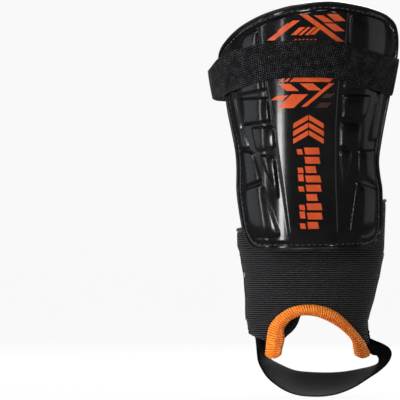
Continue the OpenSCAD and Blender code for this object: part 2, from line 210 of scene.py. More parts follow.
# %% [markdown]
# ## Shader maths in plain expressions
# A pattern such as a rib or a weave is a formula on the place of a point. One small class wraps a socket,
# so the formula is written with + and *, and each operator adds the Math node that it stands for.


# %% Socket arithmetic
class Wire:
    def __init__(self, tree, socket):
        self.tree, self.socket = tree, socket

    def node(self, kind, settings=None, inputs=None, out=0):
        made = self.tree.nodes.new(kind)
        for key, value in (settings or {}).items():
            setattr(made, key, value)
        for key, value in (inputs or {}).items():
            if isinstance(value, Wire):
                self.tree.links.new(value.socket, made.inputs[key])
            elif value is not None:
                made.inputs[key].default_value = value
        return Wire(self.tree, made.outputs[out])

    def math(self, operation, a, b=None):
        return self.node("ShaderNodeMath", {"operation": operation}, {0: a} if b is None else {0: a, 1: b})

    def __add__(self, other):
        return self.math("ADD", self, other)

    __radd__ = __add__

    def __sub__(self, other):
        return self.math("SUBTRACT", self, other)

    def __rsub__(self, other):
        return self.math("SUBTRACT", other, self)

    def __mul__(self, other):
        return self.math("MULTIPLY", self, other)

    __rmul__ = __mul__

    def wave(self):
        return self.math("SINE", self)

    def step(self, low, high):
        return self.node("ShaderNodeMapRange", {"interpolation_type": "SMOOTHSTEP"},
                         {"Value": self, "From Min": low, "From Max": high})


class Finish:
    """One material: its Principled shader, and shortcuts for the patterns that feed it."""

    def __init__(self, name, **sockets):
        self.material = bpy.data.materials.new(name)
        self.material.use_nodes = True
        self.tree = self.material.node_tree
        self.shader = self.tree.nodes["Principled BSDF"]
        self.any = Wire(self.tree, None)
        for key, value in sockets.items():
            self.shader.inputs[key.replace("_", " ")].default_value = value

    def place(self):
        """The point on the piece, in millimetres."""
        point = self.any.node("ShaderNodeTexCoord", out=3)
        return self.any.node("ShaderNodeVectorMath", {"operation": "SCALE"}, {0: point, "Scale": 1000.0})

    def parts(self, vector, count=3):
        return [self.any.node("ShaderNodeSeparateXYZ", None, {0: vector}, out=i) for i in range(count)]

    def cloth(self):
        """Along and across the strip in millimetres, from the piece's own map."""
        flat = self.any.node("ShaderNodeUVMap", {"uv_map": "cloth"})
        return [part * 1000.0 for part in self.parts(flat, 2)]

    def noise(self, vector, scale, detail=3.0, rough=0.55):
        return self.any.node("ShaderNodeTexNoise", None,
                             {"Vector": vector, "Scale": scale, "Detail": detail, "Roughness": rough})

    def blend(self, share, low, high):
        """A colour between low and high by share."""
        return self.any.node("ShaderNodeMix", {"data_type": "RGBA"}, {0: share, 6: low, 7: high}, out=2)

    def feed(self, socket, wire):
        self.tree.links.new(wire.socket, self.shader.inputs[socket])
        return self

    def colour(self, share, low, high):
        """Base colour between low and high by share."""
        return self.feed("Base Color", self.blend(share, (*low, 1), (*high, 1)))

    def bump(self, height, distance, strength=1.0):
        """Adds relief; height runs 0 to 1 and distance is its depth in millimetres."""
        before = self.shader.inputs["Normal"].links
        values = {"Height": height, "Distance": distance * MM, "Strength": strength}
        if before:
            values["Normal"] = Wire(self.tree, before[0].from_socket)
        return self.feed("Normal", self.any.node("ShaderNodeBump", None, values))


# %% [markdown]
# ## The shell's face as a formula
# The face is a cone round the shin: its radius grows slowly with height. Any point is named by its distance
# along the face from the middle line and its height, both in millimetres, and by how deep it lies under the
# face. The edge is a ring of points, smoothed by a spline and laid flat, so that widths measured
# on it are true.

# %% Face, edge and distance to an outline
EDGE = [(-72.8, 272), (-69.6, 283.2), (-57.6, 296), (-41.6, 305.2), (-25.6, 310.8), (-9.6, 314.4),
        (14.4, 316.8), (38.4, 314), (54.4, 310), (62.4, 306.4), (68.8, 300), (71.2, 288), (70.4, 272.8),
        (67.2, 256), (64, 240), (60.8, 224), (57.6, 206.4), (55.4, 190.4), (56.4, 178), (58.2, 166),
        (58.4, 142.4), (57.6, 132), (55.2, 125.6), (50.4, 121.2), (42.4, 119), (22.4, 118),
        (-1.6, 117.6), (-37.6, 117.6), (-43.6, 118.6), (-48.4, 121.8), (-51.4, 126.6), (-53.8, 133),
        (-56.8, 150.4), (-58.6, 166.4), (-58.6, 182.4), (-59.4, 196), (-62.4, 212.8), (-65.6, 228.8),
        (-67.6, 243), (-70.6, 258.4)]


def face_r(z):
    return 70 + 0.045 * (z - 117)


def on_face(s, z, depth):
    """Place of the point s along the face at height z, depth under the face. Takes numbers or arrays."""
    r = face_r(z)
    return np.stack([(r - depth) * np.sin(s / r), -(r - depth) * np.cos(s / r), z + 0 * s], -1)


def flat(x, z):
    """Distance along the face of a point seen from the front at x."""
    r = face_r(z)
    return r * np.arcsin(np.clip(x / r, -1, 1))


def spline(points, steps, closed=False):
    p = np.array(points, float)
    n = len(p)
    out = []
    for i in range(n if closed else n - 1):
        a, b, c, d = ((p[(i + k) % n] for k in (-1, 0, 1, 2)) if closed
                      else (p[min(max(i + k, 0), n - 1)] for k in (-1, 0, 1, 2)))
        for j in range(steps):
            t = j / steps
            out.append(0.5 * (2 * b + (c - a) * t + (2 * a - 5 * b + 4 * c - d) * t ** 2
                              + (3 * b - a - 3 * c + d) * t ** 3))
    if not closed:
        out.append(p[-1])
    return np.array(out)


def even(points, step, closed=False):
    """The same line with its points a step apart."""
    p = np.vstack([points, points[:1]]) if closed else points
    run = np.concatenate([[0], np.cumsum(np.linalg.norm(np.diff(p, axis=0), axis=1))])
    count = max(2, int(round(run[-1] / step)))
    at = np.linspace(0, run[-1], count + 1)
    out = np.stack([np.interp(at, run, p[:, k]) for k in range(p.shape[1])], -1)
    return out[:-1] if closed else out


edge_seen = spline(EDGE, 8, closed=True)
edge_flat = even(np.stack([flat(edge_seen[:, 0], edge_seen[:, 1]), edge_seen[:, 1]], -1), 1.5, closed=True)


def inset(ring, width):
    """A clockwise ring moved inwards by width."""
    t = np.roll(ring, -1, 0) - np.roll(ring, 1, 0)
    t /= np.linalg.norm(t, axis=1)[:, None]
    return ring + width * np.stack([t[:, 1], -t[:, 0]], -1)


def depth_inside(points, ring):
    """Distance from each point to a closed ring: positive inside it, negative outside."""
    a, b = ring, np.roll(ring, -1, 0)
    best = np.full(len(points), 1e9)
    inside = np.zeros(len(points), bool)
    x, y = points[:, 0], points[:, 1]
    for (ax, ay), (bx, by) in zip(a, b):
        dx, dy = bx - ax, by - ay
        t = np.clip(((x - ax) * dx + (y - ay) * dy) / (dx * dx + dy * dy + 1e-12), 0, 1)
        best = np.minimum(best, (x - ax - t * dx) ** 2 + (y - ay - t * dy) ** 2)
        if ay != by:
            inside ^= ((ay > y) != (by > y)) & (x < dx * (y - ay) / dy + ax)
    return np.where(inside, 1, -1) * np.sqrt(best)


print("edge ring of", len(edge_flat), "points, flat width", round(float(np.ptp(edge_flat[:, 0])), 1), "mm")

# %% [markdown]
# ## Mesh helpers
# Nearly every piece is a field of points in rows and columns, open or joined round. The points are worked
# out as numpy arrays, and one call here turns them into a mesh with its finish and its cloth map.


# %% Meshes from arrays
def make_piece(name, points, faces, finish, uv=None):
    mesh = bpy.data.meshes.new(name)
    mesh.from_pydata((np.asarray(points, float) * MM).tolist(), [], [list(map(int, f)) for f in faces])
    if uv is not None:
        layer = mesh.uv_layers.new(name="cloth")
        loops = np.empty(len(mesh.loops), int)
        mesh.loops.foreach_get("vertex_index", loops)
        layer.data.foreach_set("uv", (np.asarray(uv, float)[loops] * MM).ravel())
    mesh.shade_smooth()
    mesh.materials.append(finish.material)
    return in_scene(name, mesh)


def weave_faces(rows, columns, around=False):
    """Quads of a field of rows by columns; around joins the last column to the first."""
    i, j = np.meshgrid(np.arange(rows - 1), np.arange(columns if around else columns - 1), indexing="ij")
    k = (j + 1) % columns
    below, above = i * columns, (i + 1) * columns
    return np.stack([below + j, below + k, above + k, above + j], -1).reshape(-1, 4)


def outward(piece):
    work = bmesh.new()
    work.from_mesh(piece.data)
    bmesh.ops.recalc_face_normals(work, faces=work.faces)
    work.to_mesh(piece.data)
    work.free()


def unit(v):
    return v / np.maximum(np.linalg.norm(v, axis=-1, keepdims=True), 1e-9)


# %% [markdown]
# ## Gloss of the moulded skin
# The skin is a thermoformed black film: nearly black, very glossy, with a clear coat that picks up long
# soft highlights along every rounded step. Faint flow marks in the gloss keep it from looking like glass.

# %% Shell finishes
shell_gloss = Finish("moulded_gloss_skin", Metallic=0.0, IOR=1.5, Coat_Weight=0.7, Coat_Roughness=0.08)
place = shell_gloss.place()
mist = shell_gloss.noise(place, 0.035, 3.0)
fine = shell_gloss.noise(place, 1.3, 2.0)
shell_gloss.colour(mist.step(0.35, 0.7), (0.0025, 0.0025, 0.003), (0.006, 0.006, 0.0065))
shell_gloss.feed("Roughness", 0.11 + mist * 0.09 + fine.step(0.55, 0.8) * 0.03)
shell_gloss.bump(mist, 0.5, 0.3).bump(fine, 0.006, 0.2)

rim_gloss = Finish("rolled_rim_gloss", IOR=1.5, Coat_Weight=0.5, Coat_Roughness=0.15)
place = rim_gloss.place()
grain = rim_gloss.noise(place, 1.6, 3.0)
rub = rim_gloss.noise(place, 0.08, 4.0).step(0.45, 0.75)
rim_gloss.colour(rub, (0.006, 0.006, 0.0065), (0.013, 0.013, 0.014))
rim_gloss.feed("Roughness", 0.26 + grain * 0.08 + rub * 0.08)
rim_gloss.bump(grain, 0.06, 0.5)

# %% [markdown]
# ## The moulded skin
# The real skin is one sheet sucked down over a mould, so its raised cells have rounded steps and soft
# corners. A boolean of hard blocks would miss that. Here the outlines of the cells are painted on a fine
# field of heights, the field is blurred by about a millimetre, and the shell's face is lifted by it.

# %% Cells and panel of the skin
CELLS = [
    [(-57, 272), (-57.6, 282), (-51, 290), (-42, 294.4), (-41, 272)],
    [(-65.6, 270.8), (-65.6, 278.4), (-60, 280.8), (-59.4, 270.8)],
    [(-60, 264.8), (-36.8, 265.6), (-35.6, 246.4), (-57.6, 242.4)],
    [(-56, 239.2), (-33, 240), (-32, 221.6), (-52.6, 218.4)],
    [(-46.4, 216), (-28.8, 216.8), (-28, 200), (-42.4, 197.6)],
    [(-40, 194.4), (-28.4, 192), (-25, 158)],
    [(-66.8, 265.6), (-62.6, 265.6), (-59.6, 241), (-54.6, 217), (-47.6, 199), (-56.4, 201), (-61.8, 226)],
    [(-56, 197.6), (-45.6, 196.8), (-38.4, 174.4), (-52, 168.8)],
    [(-55.2, 164.8), (-38.4, 171.2), (-24, 129.6), (-44.8, 129.6), (-51.2, 145.6)],
    [(31.2, 305.6), (46.4, 305.6), (60.4, 301.4), (66.4, 295), (67.6, 282.4), (62.4, 273.6), (31.2, 272.8)],
    [(28.8, 268.8), (56.8, 268.8), (52, 248.8), (26.4, 246.4)],
    [(26.4, 241.6), (48, 241.6), (44, 224.8), (25.6, 223.2)],
    [(24, 218.4), (40.8, 218.4), (38.4, 202.4), (24, 200)],
    [(23.2, 196.8), (32.8, 196.8), (26.4, 166.4)],
    [(62.6, 269.6), (65.6, 269), (60.4, 238.4), (54.4, 206.4), (46.8, 206.4), (52.8, 238.4)],
    [(38.4, 197.6), (52, 198.4), (53.4, 170.4), (38.4, 178.4)],
    [(36.8, 172.8), (54, 166.4), (52.8, 138.4), (46.4, 132), (31.2, 132)]]
PANEL = [(-40.8, 298.4), (-25.6, 305), (-8, 309), (14.4, 310.8), (30.4, 309.6), (28.8, 290.4),
         (24.8, 270.4), (21.6, 246.4), (20, 218.4), (20, 174.4), (21.6, 130.4), (-16.8, 129.6),
         (-21.6, 166.4), (-26.4, 198.4), (-30.4, 226.4), (-34.4, 246.4), (-38.4, 270.4)]
STEP = 0.62
field_s = np.arange(edge_flat[:, 0].min() - 1, edge_flat[:, 0].max() + 1, STEP)
field_z = np.arange(116, 319, STEP)
grid_s, grid_z = np.meshgrid(field_s, field_z)
field = np.stack([grid_s.ravel(), grid_z.ravel()], -1)
from_edge = depth_inside(field, edge_flat).reshape(grid_s.shape)


def laid_flat(outline):
    p = even(np.array(outline + outline[:1], float), 3.0)[:-1]
    return np.stack([flat(p[:, 0], p[:, 1]), p[:, 1]], -1)


def painted(outlines):
    """1 inside any of the outlines and 0 outside, soft over one step of the field."""
    total = np.zeros(grid_s.shape)
    for outline in outlines:
        ring = laid_flat(outline)
        lo, hi = ring.min(0) - 4, ring.max(0) + 4
        near = (grid_s > lo[0]) & (grid_s < hi[0]) & (grid_z > lo[1]) & (grid_z < hi[1])
        share = np.clip(depth_inside(np.stack([grid_s[near], grid_z[near]], -1), ring) / STEP + 0.5, 0, 1)
        total[near] = np.maximum(total[near], share)
    return total


def blurred(values, width):
    """Gaussian blur of a field by width, in millimetres."""
    reach = int(math.ceil(3 * width / STEP))
    kernel = np.exp(-0.5 * (np.arange(-reach, reach + 1) * STEP / width) ** 2)
    kernel /= kernel.sum()
    for axis in (0, 1):
        padded = np.pad(values, [(reach, reach) if a == axis else (0, 0) for a in (0, 1)], mode="edge")
        values = np.apply_along_axis(lambda row: np.convolve(row, kernel, mode="valid"), axis, padded)
    return values


def soft_step(x, low=0.0, high=1.0):
    t = np.clip((x - low) / (high - low), 0, 1)
    return t * t * (3 - 2 * t)


CELL_STEP, CELL_DOME, PANEL_STEP, FLANGE_DROP, GROOVE_DEPTH = 1.15, 1.3, 1.0, 0.35, 0.25
STITCH_INSET = 5.0
cell_paint, panel_paint = painted(CELLS), painted([PANEL])
cell_rise = soft_step(blurred(cell_paint, 0.95), 0.12, 0.88)
cell_crown = blurred(cell_paint, 4.5)
panel_rise = soft_step(blurred(panel_paint, 1.3), 0.1, 0.9)
flange = soft_step(from_edge, 6.2, 8.4)
groove = np.exp(-((from_edge - STITCH_INSET) / 0.8) ** 2)
face_rise = (cell_rise * (CELL_STEP + CELL_DOME * cell_crown) + panel_rise * PANEL_STEP * flange
             + FLANGE_DROP * (flange - 1) - GROOVE_DEPTH * groove)
print("skin field", grid_s.shape, "highest step", round(float(face_rise.max()), 2), "mm")


# %% Skin piece
def field_piece(name, lift, keep, finish, inward=False):
    """The part of the field where keep holds, lifted off the face by lift."""
    number = np.full(grid_s.shape, -1)
    number[keep] = np.arange(keep.sum())
    points = on_face(grid_s[keep], grid_z[keep], -lift[keep])
    a, b, c, d = number[:-1, :-1], number[:-1, 1:], number[1:, 1:], number[1:, :-1]
    whole = (a >= 0) & (b >= 0) & (c >= 0) & (d >= 0)
    order = (a, d, c, b) if inward else (a, b, c, d)
    faces = np.stack([k[whole] for k in order], -1)
    used = np.unique(faces)
    place_of = np.full(len(points), -1)
    place_of[used] = np.arange(len(used))
    uv = np.stack([grid_s[keep], grid_z[keep]], -1)
    return make_piece(name, points[used], place_of[faces], finish, uv[used])


skin = field_piece("moulded_skin", face_rise, from_edge > 1.4, shell_gloss)
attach(skin, "guard")
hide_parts("outer_shell")
print("moulded_skin", len(skin.data.polygons), "faces")


def rise_at(s, z):
    """Height of the skin over the face at any point, read from the field."""
    fs = np.clip((s - field_s[0]) / STEP, 0, len(field_s) - 2)
    fz = np.clip((z - field_z[0]) / STEP, 0, len(field_z) - 2)
    i, j = fz.astype(int), fs.astype(int)
    u, v = fs - j, fz - i
    return ((1 - v) * ((1 - u) * face_rise[i, j] + u * face_rise[i, j + 1])
            + v * ((1 - u) * face_rise[i + 1, j] + u * face_rise[i + 1, j + 1]))


# %% [markdown]
# ## Rolled binding
# The edge of skin, foam and lining is closed by one smooth rolled edge, a few millimetres wide and as deep
# as the whole sandwich. It is a rounded section carried round the edge, with a slight lip where it meets
# the skin.

# %% Binding piece
def round_the_edge(name, section, finish):
    """section is a closed ring of (inset, depth) points, carried round the shell's edge."""
    rings = {round(float(w), 3): inset(edge_flat, w) for w in {round(float(p[0]), 3) for p in section}}
    points = np.stack([on_face(rings[round(float(w), 3)][:, 0], rings[round(float(w), 3)][:, 1], d)
                       for w, d in section], 1).reshape(-1, 3)
    n, m = len(edge_flat), len(section)
    faces = weave_faces(n + 1, m, around=True) % (n * m)
    piece = make_piece(name, points, faces, finish)
    outward(piece)
    return piece


turn = 2 * np.pi * np.arange(28) / 28
lip = [(1.62 + 1.62 * np.sign(math.cos(t)) * abs(math.cos(t)) ** 0.7,
        5.2 - 6.4 * np.sign(math.sin(t)) * abs(math.sin(t)) ** 0.42) for t in turn]
binding = round_the_edge("rolled_binding", lip, rim_gloss)
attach(binding, "guard")
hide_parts("edge_binding")
print("rolled_binding", len(binding.data.polygons), "faces")

# %% [markdown]
# ## A row of stitches from a path
# Every seam here is the same small thing repeated along a line, so one Geometry Nodes tree makes them all:
# the path is cut at an even pitch, a thread of the given size is set down at each cut, turned along the
# path and up from the cloth, and the result is realised and given its finish. A ring instead of a thread
# makes an overlocked edge.


# %% Stitch row tree
def tree_input(tree, name, kind, value=None):
    item = tree.interface.new_socket(name, in_out="INPUT", socket_type=kind)
    if value is not None:
        item.default_value = value
    return item.identifier


def stitch_tree():
    tree = bpy.data.node_groups.new("stitch_row", "GeometryNodeTree")
    names = {"path": tree_input(tree, "Path", "NodeSocketGeometry"),
             "pitch": tree_input(tree, "Pitch", "NodeSocketFloat", 0.005),
             "size": tree_input(tree, "Thread size", "NodeSocketVector"),
             "ring": tree_input(tree, "Ring", "NodeSocketBool", False),
             "thread": tree_input(tree, "Ring thread", "NodeSocketFloat", 0.2),
             "lean": tree_input(tree, "Lean", "NodeSocketFloat", 0.0),
             "finish": tree_input(tree, "Finish", "NodeSocketMaterial")}
    tree.interface.new_socket("Stitches", in_out="OUTPUT", socket_type="NodeSocketGeometry")
    n = tree.nodes
    come, leave = n.new("NodeGroupInput"), n.new("NodeGroupOutput")
    curve, cut = n.new("GeometryNodeMeshToCurve"), n.new("GeometryNodeResampleCurve")
    cut.mode = "LENGTH"
    heading = n.new("GeometryNodeInputTangent")
    up = n.new("GeometryNodeInputNamedAttribute")
    up.data_type = "FLOAT_VECTOR"
    up.inputs["Name"].default_value = "up"
    face = n.new("FunctionNodeAxesToRotation")
    face.primary_axis, face.secondary_axis = "X", "Z"
    turn = n.new("FunctionNodeRotateRotation")
    turn.rotation_space = "LOCAL"
    angle = n.new("ShaderNodeCombineXYZ")
    euler = n.new("FunctionNodeEulerToRotation")
    ball = n.new("GeometryNodeMeshUVSphere")
    ball.inputs["Segments"].default_value, ball.inputs["Rings"].default_value = 8, 5
    ball.inputs["Radius"].default_value = 0.5
    circle, line = n.new("GeometryNodeCurvePrimitiveCircle"), n.new("GeometryNodeCurvePrimitiveCircle")
    circle.inputs["Resolution"].default_value, circle.inputs["Radius"].default_value = 14, 0.5
    line.inputs["Resolution"].default_value = 4
    hoop, tip = n.new("GeometryNodeCurveToMesh"), n.new("GeometryNodeTransform")
    tip.inputs["Rotation"].default_value = (0, math.pi / 2, 0)
    pick, lay = n.new("GeometryNodeSwitch"), n.new("GeometryNodeInstanceOnPoints")
    pick.input_type = "GEOMETRY"
    real, smooth, paint = (n.new("GeometryNodeRealizeInstances"), n.new("GeometryNodeSetShadeSmooth"),
                           n.new("GeometryNodeSetMaterial"))
    for a, leaving, b, entering in (
            (come, "Path", curve, "Mesh"),
            (curve, "Curve", cut, "Curve"),
            (come, "Pitch", cut, "Length"),
            (heading, "Tangent", face, "Primary Axis"),
            (up, "Attribute", face, "Secondary Axis"),
            (come, "Lean", angle, "Z"),
            (angle, 0, euler, 0),
            (face, 0, turn, 0),
            (euler, 0, turn, 1),
            (circle, "Curve", hoop, "Curve"),
            (come, "Ring thread", line, "Radius"),
            (line, "Curve", hoop, "Profile Curve"),
            (hoop, "Mesh", tip, "Geometry"),
            (come, "Ring", pick, "Switch"),
            (ball, "Mesh", pick, "False"),
            (tip, "Geometry", pick, "True"),
            (cut, "Curve", lay, "Points"),
            (pick, "Output", lay, "Instance"),
            (turn, 0, lay, "Rotation"),
            (come, "Thread size", lay, "Scale"),
            (lay, "Instances", real, "Geometry"),
            (real, "Geometry", smooth, "Geometry"),
            (smooth, "Geometry", paint, "Geometry"),
            (come, "Finish", paint, "Material"),
            (paint, "Geometry", leave, 0)):
        tree.links.new(a.outputs[leaving], b.inputs[entering])
    return tree, names


STITCHES, STITCH_INPUT = stitch_tree()


def stitch_row(name, path, up, pitch, size, finish, closed=False, ring=False, thread=0.1, lean=0.0):
    """Threads along path (points in mm). size is (along, across, up) in mm; up is a vector for each point."""
    n = len(path)
    mesh = bpy.data.meshes.new(name + "_path")
    edges = [(i, (i + 1) % n) for i in range(n if closed else n - 1)]
    mesh.from_pydata((np.asarray(path, float) * MM).tolist(), edges, [])
    ups = mesh.attributes.new("up", "FLOAT_VECTOR", "POINT")
    ups.data.foreach_set("vector", np.asarray(up, np.float32).ravel())
    path_piece = in_scene(name + "_path", mesh)
    rule = path_piece.modifiers.new("stitches", "NODES")
    rule.node_group = STITCHES
    for key, value in (("pitch", pitch * MM), ("size", [v * MM for v in size]), ("ring", ring),
                       ("thread", thread), ("lean", math.radians(lean)), ("finish", finish.material)):
        rule[STITCH_INPUT[key]] = value
    bpy.context.view_layer.update()
    made = bpy.data.meshes.new_from_object(path_piece.evaluated_get(bpy.context.evaluated_depsgraph_get()))
    bpy.data.objects.remove(path_piece)
    bpy.data.meshes.remove(mesh)
    made.name = name
    row = in_scene(name, made)
    outward(row)
    print(name, len(made.polygons), "faces")
    return row


def face_up(s, z):
    """The direction straight out of the shell's face."""
    a = s / face_r(z)
    return unit(np.stack([np.sin(a), -np.cos(a), -0.045 + 0 * a], -1))


# %% Thread finish
black_thread = Finish("black_thread", Roughness=0.55, Sheen_Weight=0.3, Sheen_Roughness=0.4)
px, py, pz = black_thread.parts(black_thread.place())
ply = ((px + py + pz) * 5.2).wave() * 0.5 + 0.5
black_thread.colour(ply, (0.022, 0.022, 0.024), (0.075, 0.075, 0.08))
black_thread.bump(ply, 0.12, 0.8)

# %% Rim stitches
seam_ring = even(inset(edge_flat, STITCH_INSET), 1.5, closed=True)
seam_path = on_face(seam_ring[:, 0], seam_ring[:, 1], 0.05)
rim_row = stitch_row("rim_stitches", seam_path, face_up(seam_ring[:, 0], seam_ring[:, 1]), 4.6,
                     (3.3, 0.85, 0.75), black_thread, closed=True)
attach(rim_row, "guard")
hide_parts("rim_stitching")

# %% [markdown]
# ## Printed bars
# The front panel is printed in orange: bars that lean left and right over a few level ones, thinning to a
# field of dots. The film is thin and lies on the moulded skin, so each bar is a flat outline, cut into
# small faces and laid on the lifted face a tenth of a millimetre proud. The badge below is three plain
# chevrons, and the upright mark is a column of plain blocks in pairs.

# %% Ink finish
orange_ink = Finish("orange_ink", IOR=1.45, Coat_Weight=0.55, Coat_Roughness=0.12)
place = orange_ink.place()
speck = orange_ink.noise(place, 2.4, 2.0)
cloud = orange_ink.noise(place, 0.12, 2.0)
orange_ink.colour(cloud.step(0.3, 0.7), (0.52, 0.060, 0.007), (0.62, 0.080, 0.011))
orange_ink.feed("Roughness", 0.34 + speck * 0.12)
orange_ink.bump(speck, 0.02, 0.4)
faded_ink = Finish("faded_ink", IOR=1.45, Coat_Weight=0.55, Coat_Roughness=0.12)
place = faded_ink.place()
speck = faded_ink.noise(place, 2.4, 2.0)
faded_ink.colour(speck, (0.030, 0.012, 0.008), (0.062, 0.022, 0.013))
faded_ink.feed("Roughness", 0.36 + speck * 0.12)


# %% Laying a print on the face
def lay_print(name, outlines, finish, proud=0.12, grain=2.4):
    """Outlines seen from the front, in mm, cut into small faces and laid on the skin."""
    work = bmesh.new()
    for outline in outlines:
        p = np.array(outline, float)
        s = flat(p[:, 0], p[:, 1])
        work.faces.new([work.verts.new((a, 0, b)) for a, b in zip(s, p[:, 1])])
    bmesh.ops.triangulate(work, faces=work.faces, ngon_method="EAR_CLIP")
    low = np.min([v.co for v in work.verts], axis=0)
    high = np.max([v.co for v in work.verts], axis=0)
    for axis, way in ((0, (1, 0, 0)), (2, (0, 0, 1))):
        for at in np.arange(low[axis] + grain, high[axis], grain):
            spot = [0, 0, 0]
            spot[axis] = at
            everything = work.verts[:] + work.edges[:] + work.faces[:]
            bmesh.ops.bisect_plane(work, geom=everything, plane_co=spot, plane_no=way)
    bmesh.ops.dissolve_degenerate(work, edges=work.edges, dist=0.001)
    co = np.array([v.co for v in work.verts])
    placed = on_face(co[:, 0], co[:, 2], -(rise_at(co[:, 0], co[:, 2]) + proud)) * MM
    for v, p in zip(work.verts, placed):
        v.co = p
    for f in work.faces:
        f.normal_update()
        if f.normal.y > 0:
            f.normal_flip()
        f.smooth = True
    mesh = bpy.data.meshes.new(name)
    work.to_mesh(mesh)
    work.free()
    mesh.materials.append(finish.material)
    print(name, len(mesh.polygons), "faces")
    return in_scene(name, mesh)


def bar(x, z, wide, tall, slant):
    """A leaning bar: its lower left corner, its width, its height and how far its top is pushed sideways."""
    return [(x, z), (x + wide, z), (x + wide + slant, z + tall), (x + slant, z + tall)]


# %% Bars, dots, badge and upright mark
bars = [
    bar(19, 300.8, 8.8, 5.6, -6.6), bar(10.6, 299.8, 7.4, 5.4, -8.2), bar(18.6, 292.8, 8.4, 6, -8),
    bar(20.6, 284.4, 6, 21.6, -29.4),
    bar(-34, 285.6, 5.6, 15.6, 20), bar(-26.4, 292.6, 3.6, 6.4, 8.2), bar(-15.6, 289.6, 4.4, 6.2, 7),
    bar(-9.6, 289.6, 2.6, 6.2, 7), bar(-4.6, 289.6, 2.8, 6.2, 6.6), bar(-0.4, 290, 3.4, 5, 5.4),
    bar(16.8, 272, 6, 12.4, -15.6), bar(-7.4, 279.4, 9.6, 6, -7), bar(14.6, 266, 9, 12, -14),
    bar(-34.6, 262.6, 9.4, 6.6, 8), bar(-27.4, 258, 11, 11.6, 13), bar(-10.8, 263.6, 6, 6.4, 6.6),
    bar(-8.6, 262, 27.4, 4, 3.4), bar(6, 258, 16, 3.2, 2.6), bar(-24.6, 252.6, 2.4, 3, 2.6),
    bar(-20.6, 252.6, 2.4, 3, 2.6), bar(-16.4, 252.4, 31.6, 3.4, 3.2), bar(-18.6, 245.2, 9.6, 5.6, -7),
    bar(-1.6, 245.6, 10.4, 5.6, -7), bar(-7.4, 232.6, 4, 18.6, 22), bar(-31, 238, 8.6, 3.6, 5),
    bar(-26.4, 231.6, 13, 11, 11.6)]
dots = [bar(-20.4 + 3.1 * i + 2.2 * j, 277.4 + 2.5 * j, 1.7, 1.6, 1.5) for j in range(4) for i in range(6)]
faded = [bar(-36, 269.6, 12, 6.8, 8.6), bar(-21.6, 273.2, 13, 3.2, 3.6), bar(3.6, 232, 9, 4, 4),
         bar(8.4, 239.6, 7, 3.6, 3.8)]
badge = []
CHEVRON_LOW, CHEVRON_PITCH, CHEVRON_RISE, CHEVRON_THICK = 203.0, 6.1, 7, 4
for i in range(3):
    low = CHEVRON_LOW + CHEVRON_PITCH * i
    peak = low + CHEVRON_RISE
    badge.append([(-13.6, low), (-1.9, peak), (-1.9, peak + CHEVRON_THICK), (-13.6, low + CHEVRON_THICK)])
    badge.append([(10.4, low), (10.4, low + CHEVRON_THICK), (-1.3, peak + CHEVRON_THICK), (-1.3, peak)])
upright = []
BLOCK_LOW, BLOCK_PITCH, BLOCK_SWAY = 135.5, 7.4, -0.32
for i in range(9):
    low, sway = BLOCK_LOW + i * BLOCK_PITCH, BLOCK_SWAY * i
    upright.append(bar(-1.6 + sway, low, 11.6 if i % 3 else 8.4, 5.4, -1.0))
    if i % 4 != 3:
        upright.append(bar(-7.6 + sway, low + (0.8 if i % 2 else 0), 4.2, 5.6 if i % 2 else 4.2, -0.8))
print_bars = lay_print("printed_bars", bars, orange_ink)
print_dots = lay_print("printed_dots", dots, orange_ink)
print_faded = lay_print("printed_faded_bars", faded, faded_ink)
print_badge = lay_print("printed_badge", badge, orange_ink)
print_upright = lay_print("printed_upright_mark", upright, orange_ink)
for piece in (print_bars, print_dots, print_faded, print_badge, print_upright):
    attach(piece, "guard")
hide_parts("shard_print")
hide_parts("badge_print")
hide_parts("column_print")

# %% [markdown]
# ## Bands of cloth
# Straps, hems and the sleeve itself are all cloth with two edges. Each is described by its middle surface:
# rows of points along it, and points across it from one edge (-1) to the other (1). One helper gives that
# surface its thickness, rounds both edges, closes the ends and measures the cloth along and across for its
# weave.

# %% Band helper
ACROSS = np.sin(np.linspace(-1, 1, 17) * np.pi / 2)


def smooth_share(t, low, high):
    return soft_step(np.clip((t - low) / (high - low), 0, 1))


def band(name, middle, half_thick, finish, closed=False, roll=8.0, across=ACROSS, uv=None, ridges=None):
    """middle is (rows along, points across, 3) in mm; ridges adds to the half thickness at each point."""
    n, m = middle.shape[:2]
    step_u = np.roll(middle, -1, 0) - np.roll(middle, 1, 0) if closed else np.gradient(middle, axis=0)
    normal = unit(np.cross(step_u, np.gradient(middle, axis=1)))
    rounded = np.sqrt(np.clip(1 - np.abs(across) ** roll, 0, 1))[None, :]
    depth = half_thick * rounded * np.ones((n, 1))
    if ridges is not None:
        depth = depth + ridges * rounded
    lift = normal * depth[..., None]
    shell = np.concatenate([middle + lift, (middle - lift)[:, -2:0:-1]], 1)
    k = shell.shape[1]
    if uv is None:
        run = np.concatenate([[0], np.cumsum(np.linalg.norm(np.diff(middle[:, m // 2], axis=0), axis=1))])
        width = np.linalg.norm(np.diff(middle, axis=1), axis=2)
        side = np.concatenate([np.zeros((n, 1)), np.cumsum(width, 1)], 1)
        uv = np.stack([np.repeat(run[:, None], m, 1), side - side[:, m // 2:m // 2 + 1]], -1)
    uv = np.concatenate([uv, uv[:, -2:0:-1]], 1).reshape(-1, 2)
    faces = [tuple(f) for f in weave_faces(n + (1 if closed else 0), k, around=True) % (n * k)]
    if not closed:
        faces += [tuple(range(k))[::-1], tuple(range((n - 1) * k, n * k))]
    piece = make_piece(name, shell.reshape(-1, 3), faces, finish, uv)
    outward(piece)
    print(name, len(piece.data.polygons), "faces")
    return piece


def table(rows, at):
    """Reads a smooth line through given rows of (position, value, value ...) at the positions at."""
    fine = spline(sorted(rows), 8)
    return [np.interp(at, fine[:, 0], fine[:, k]) for k in range(1, fine.shape[1])]


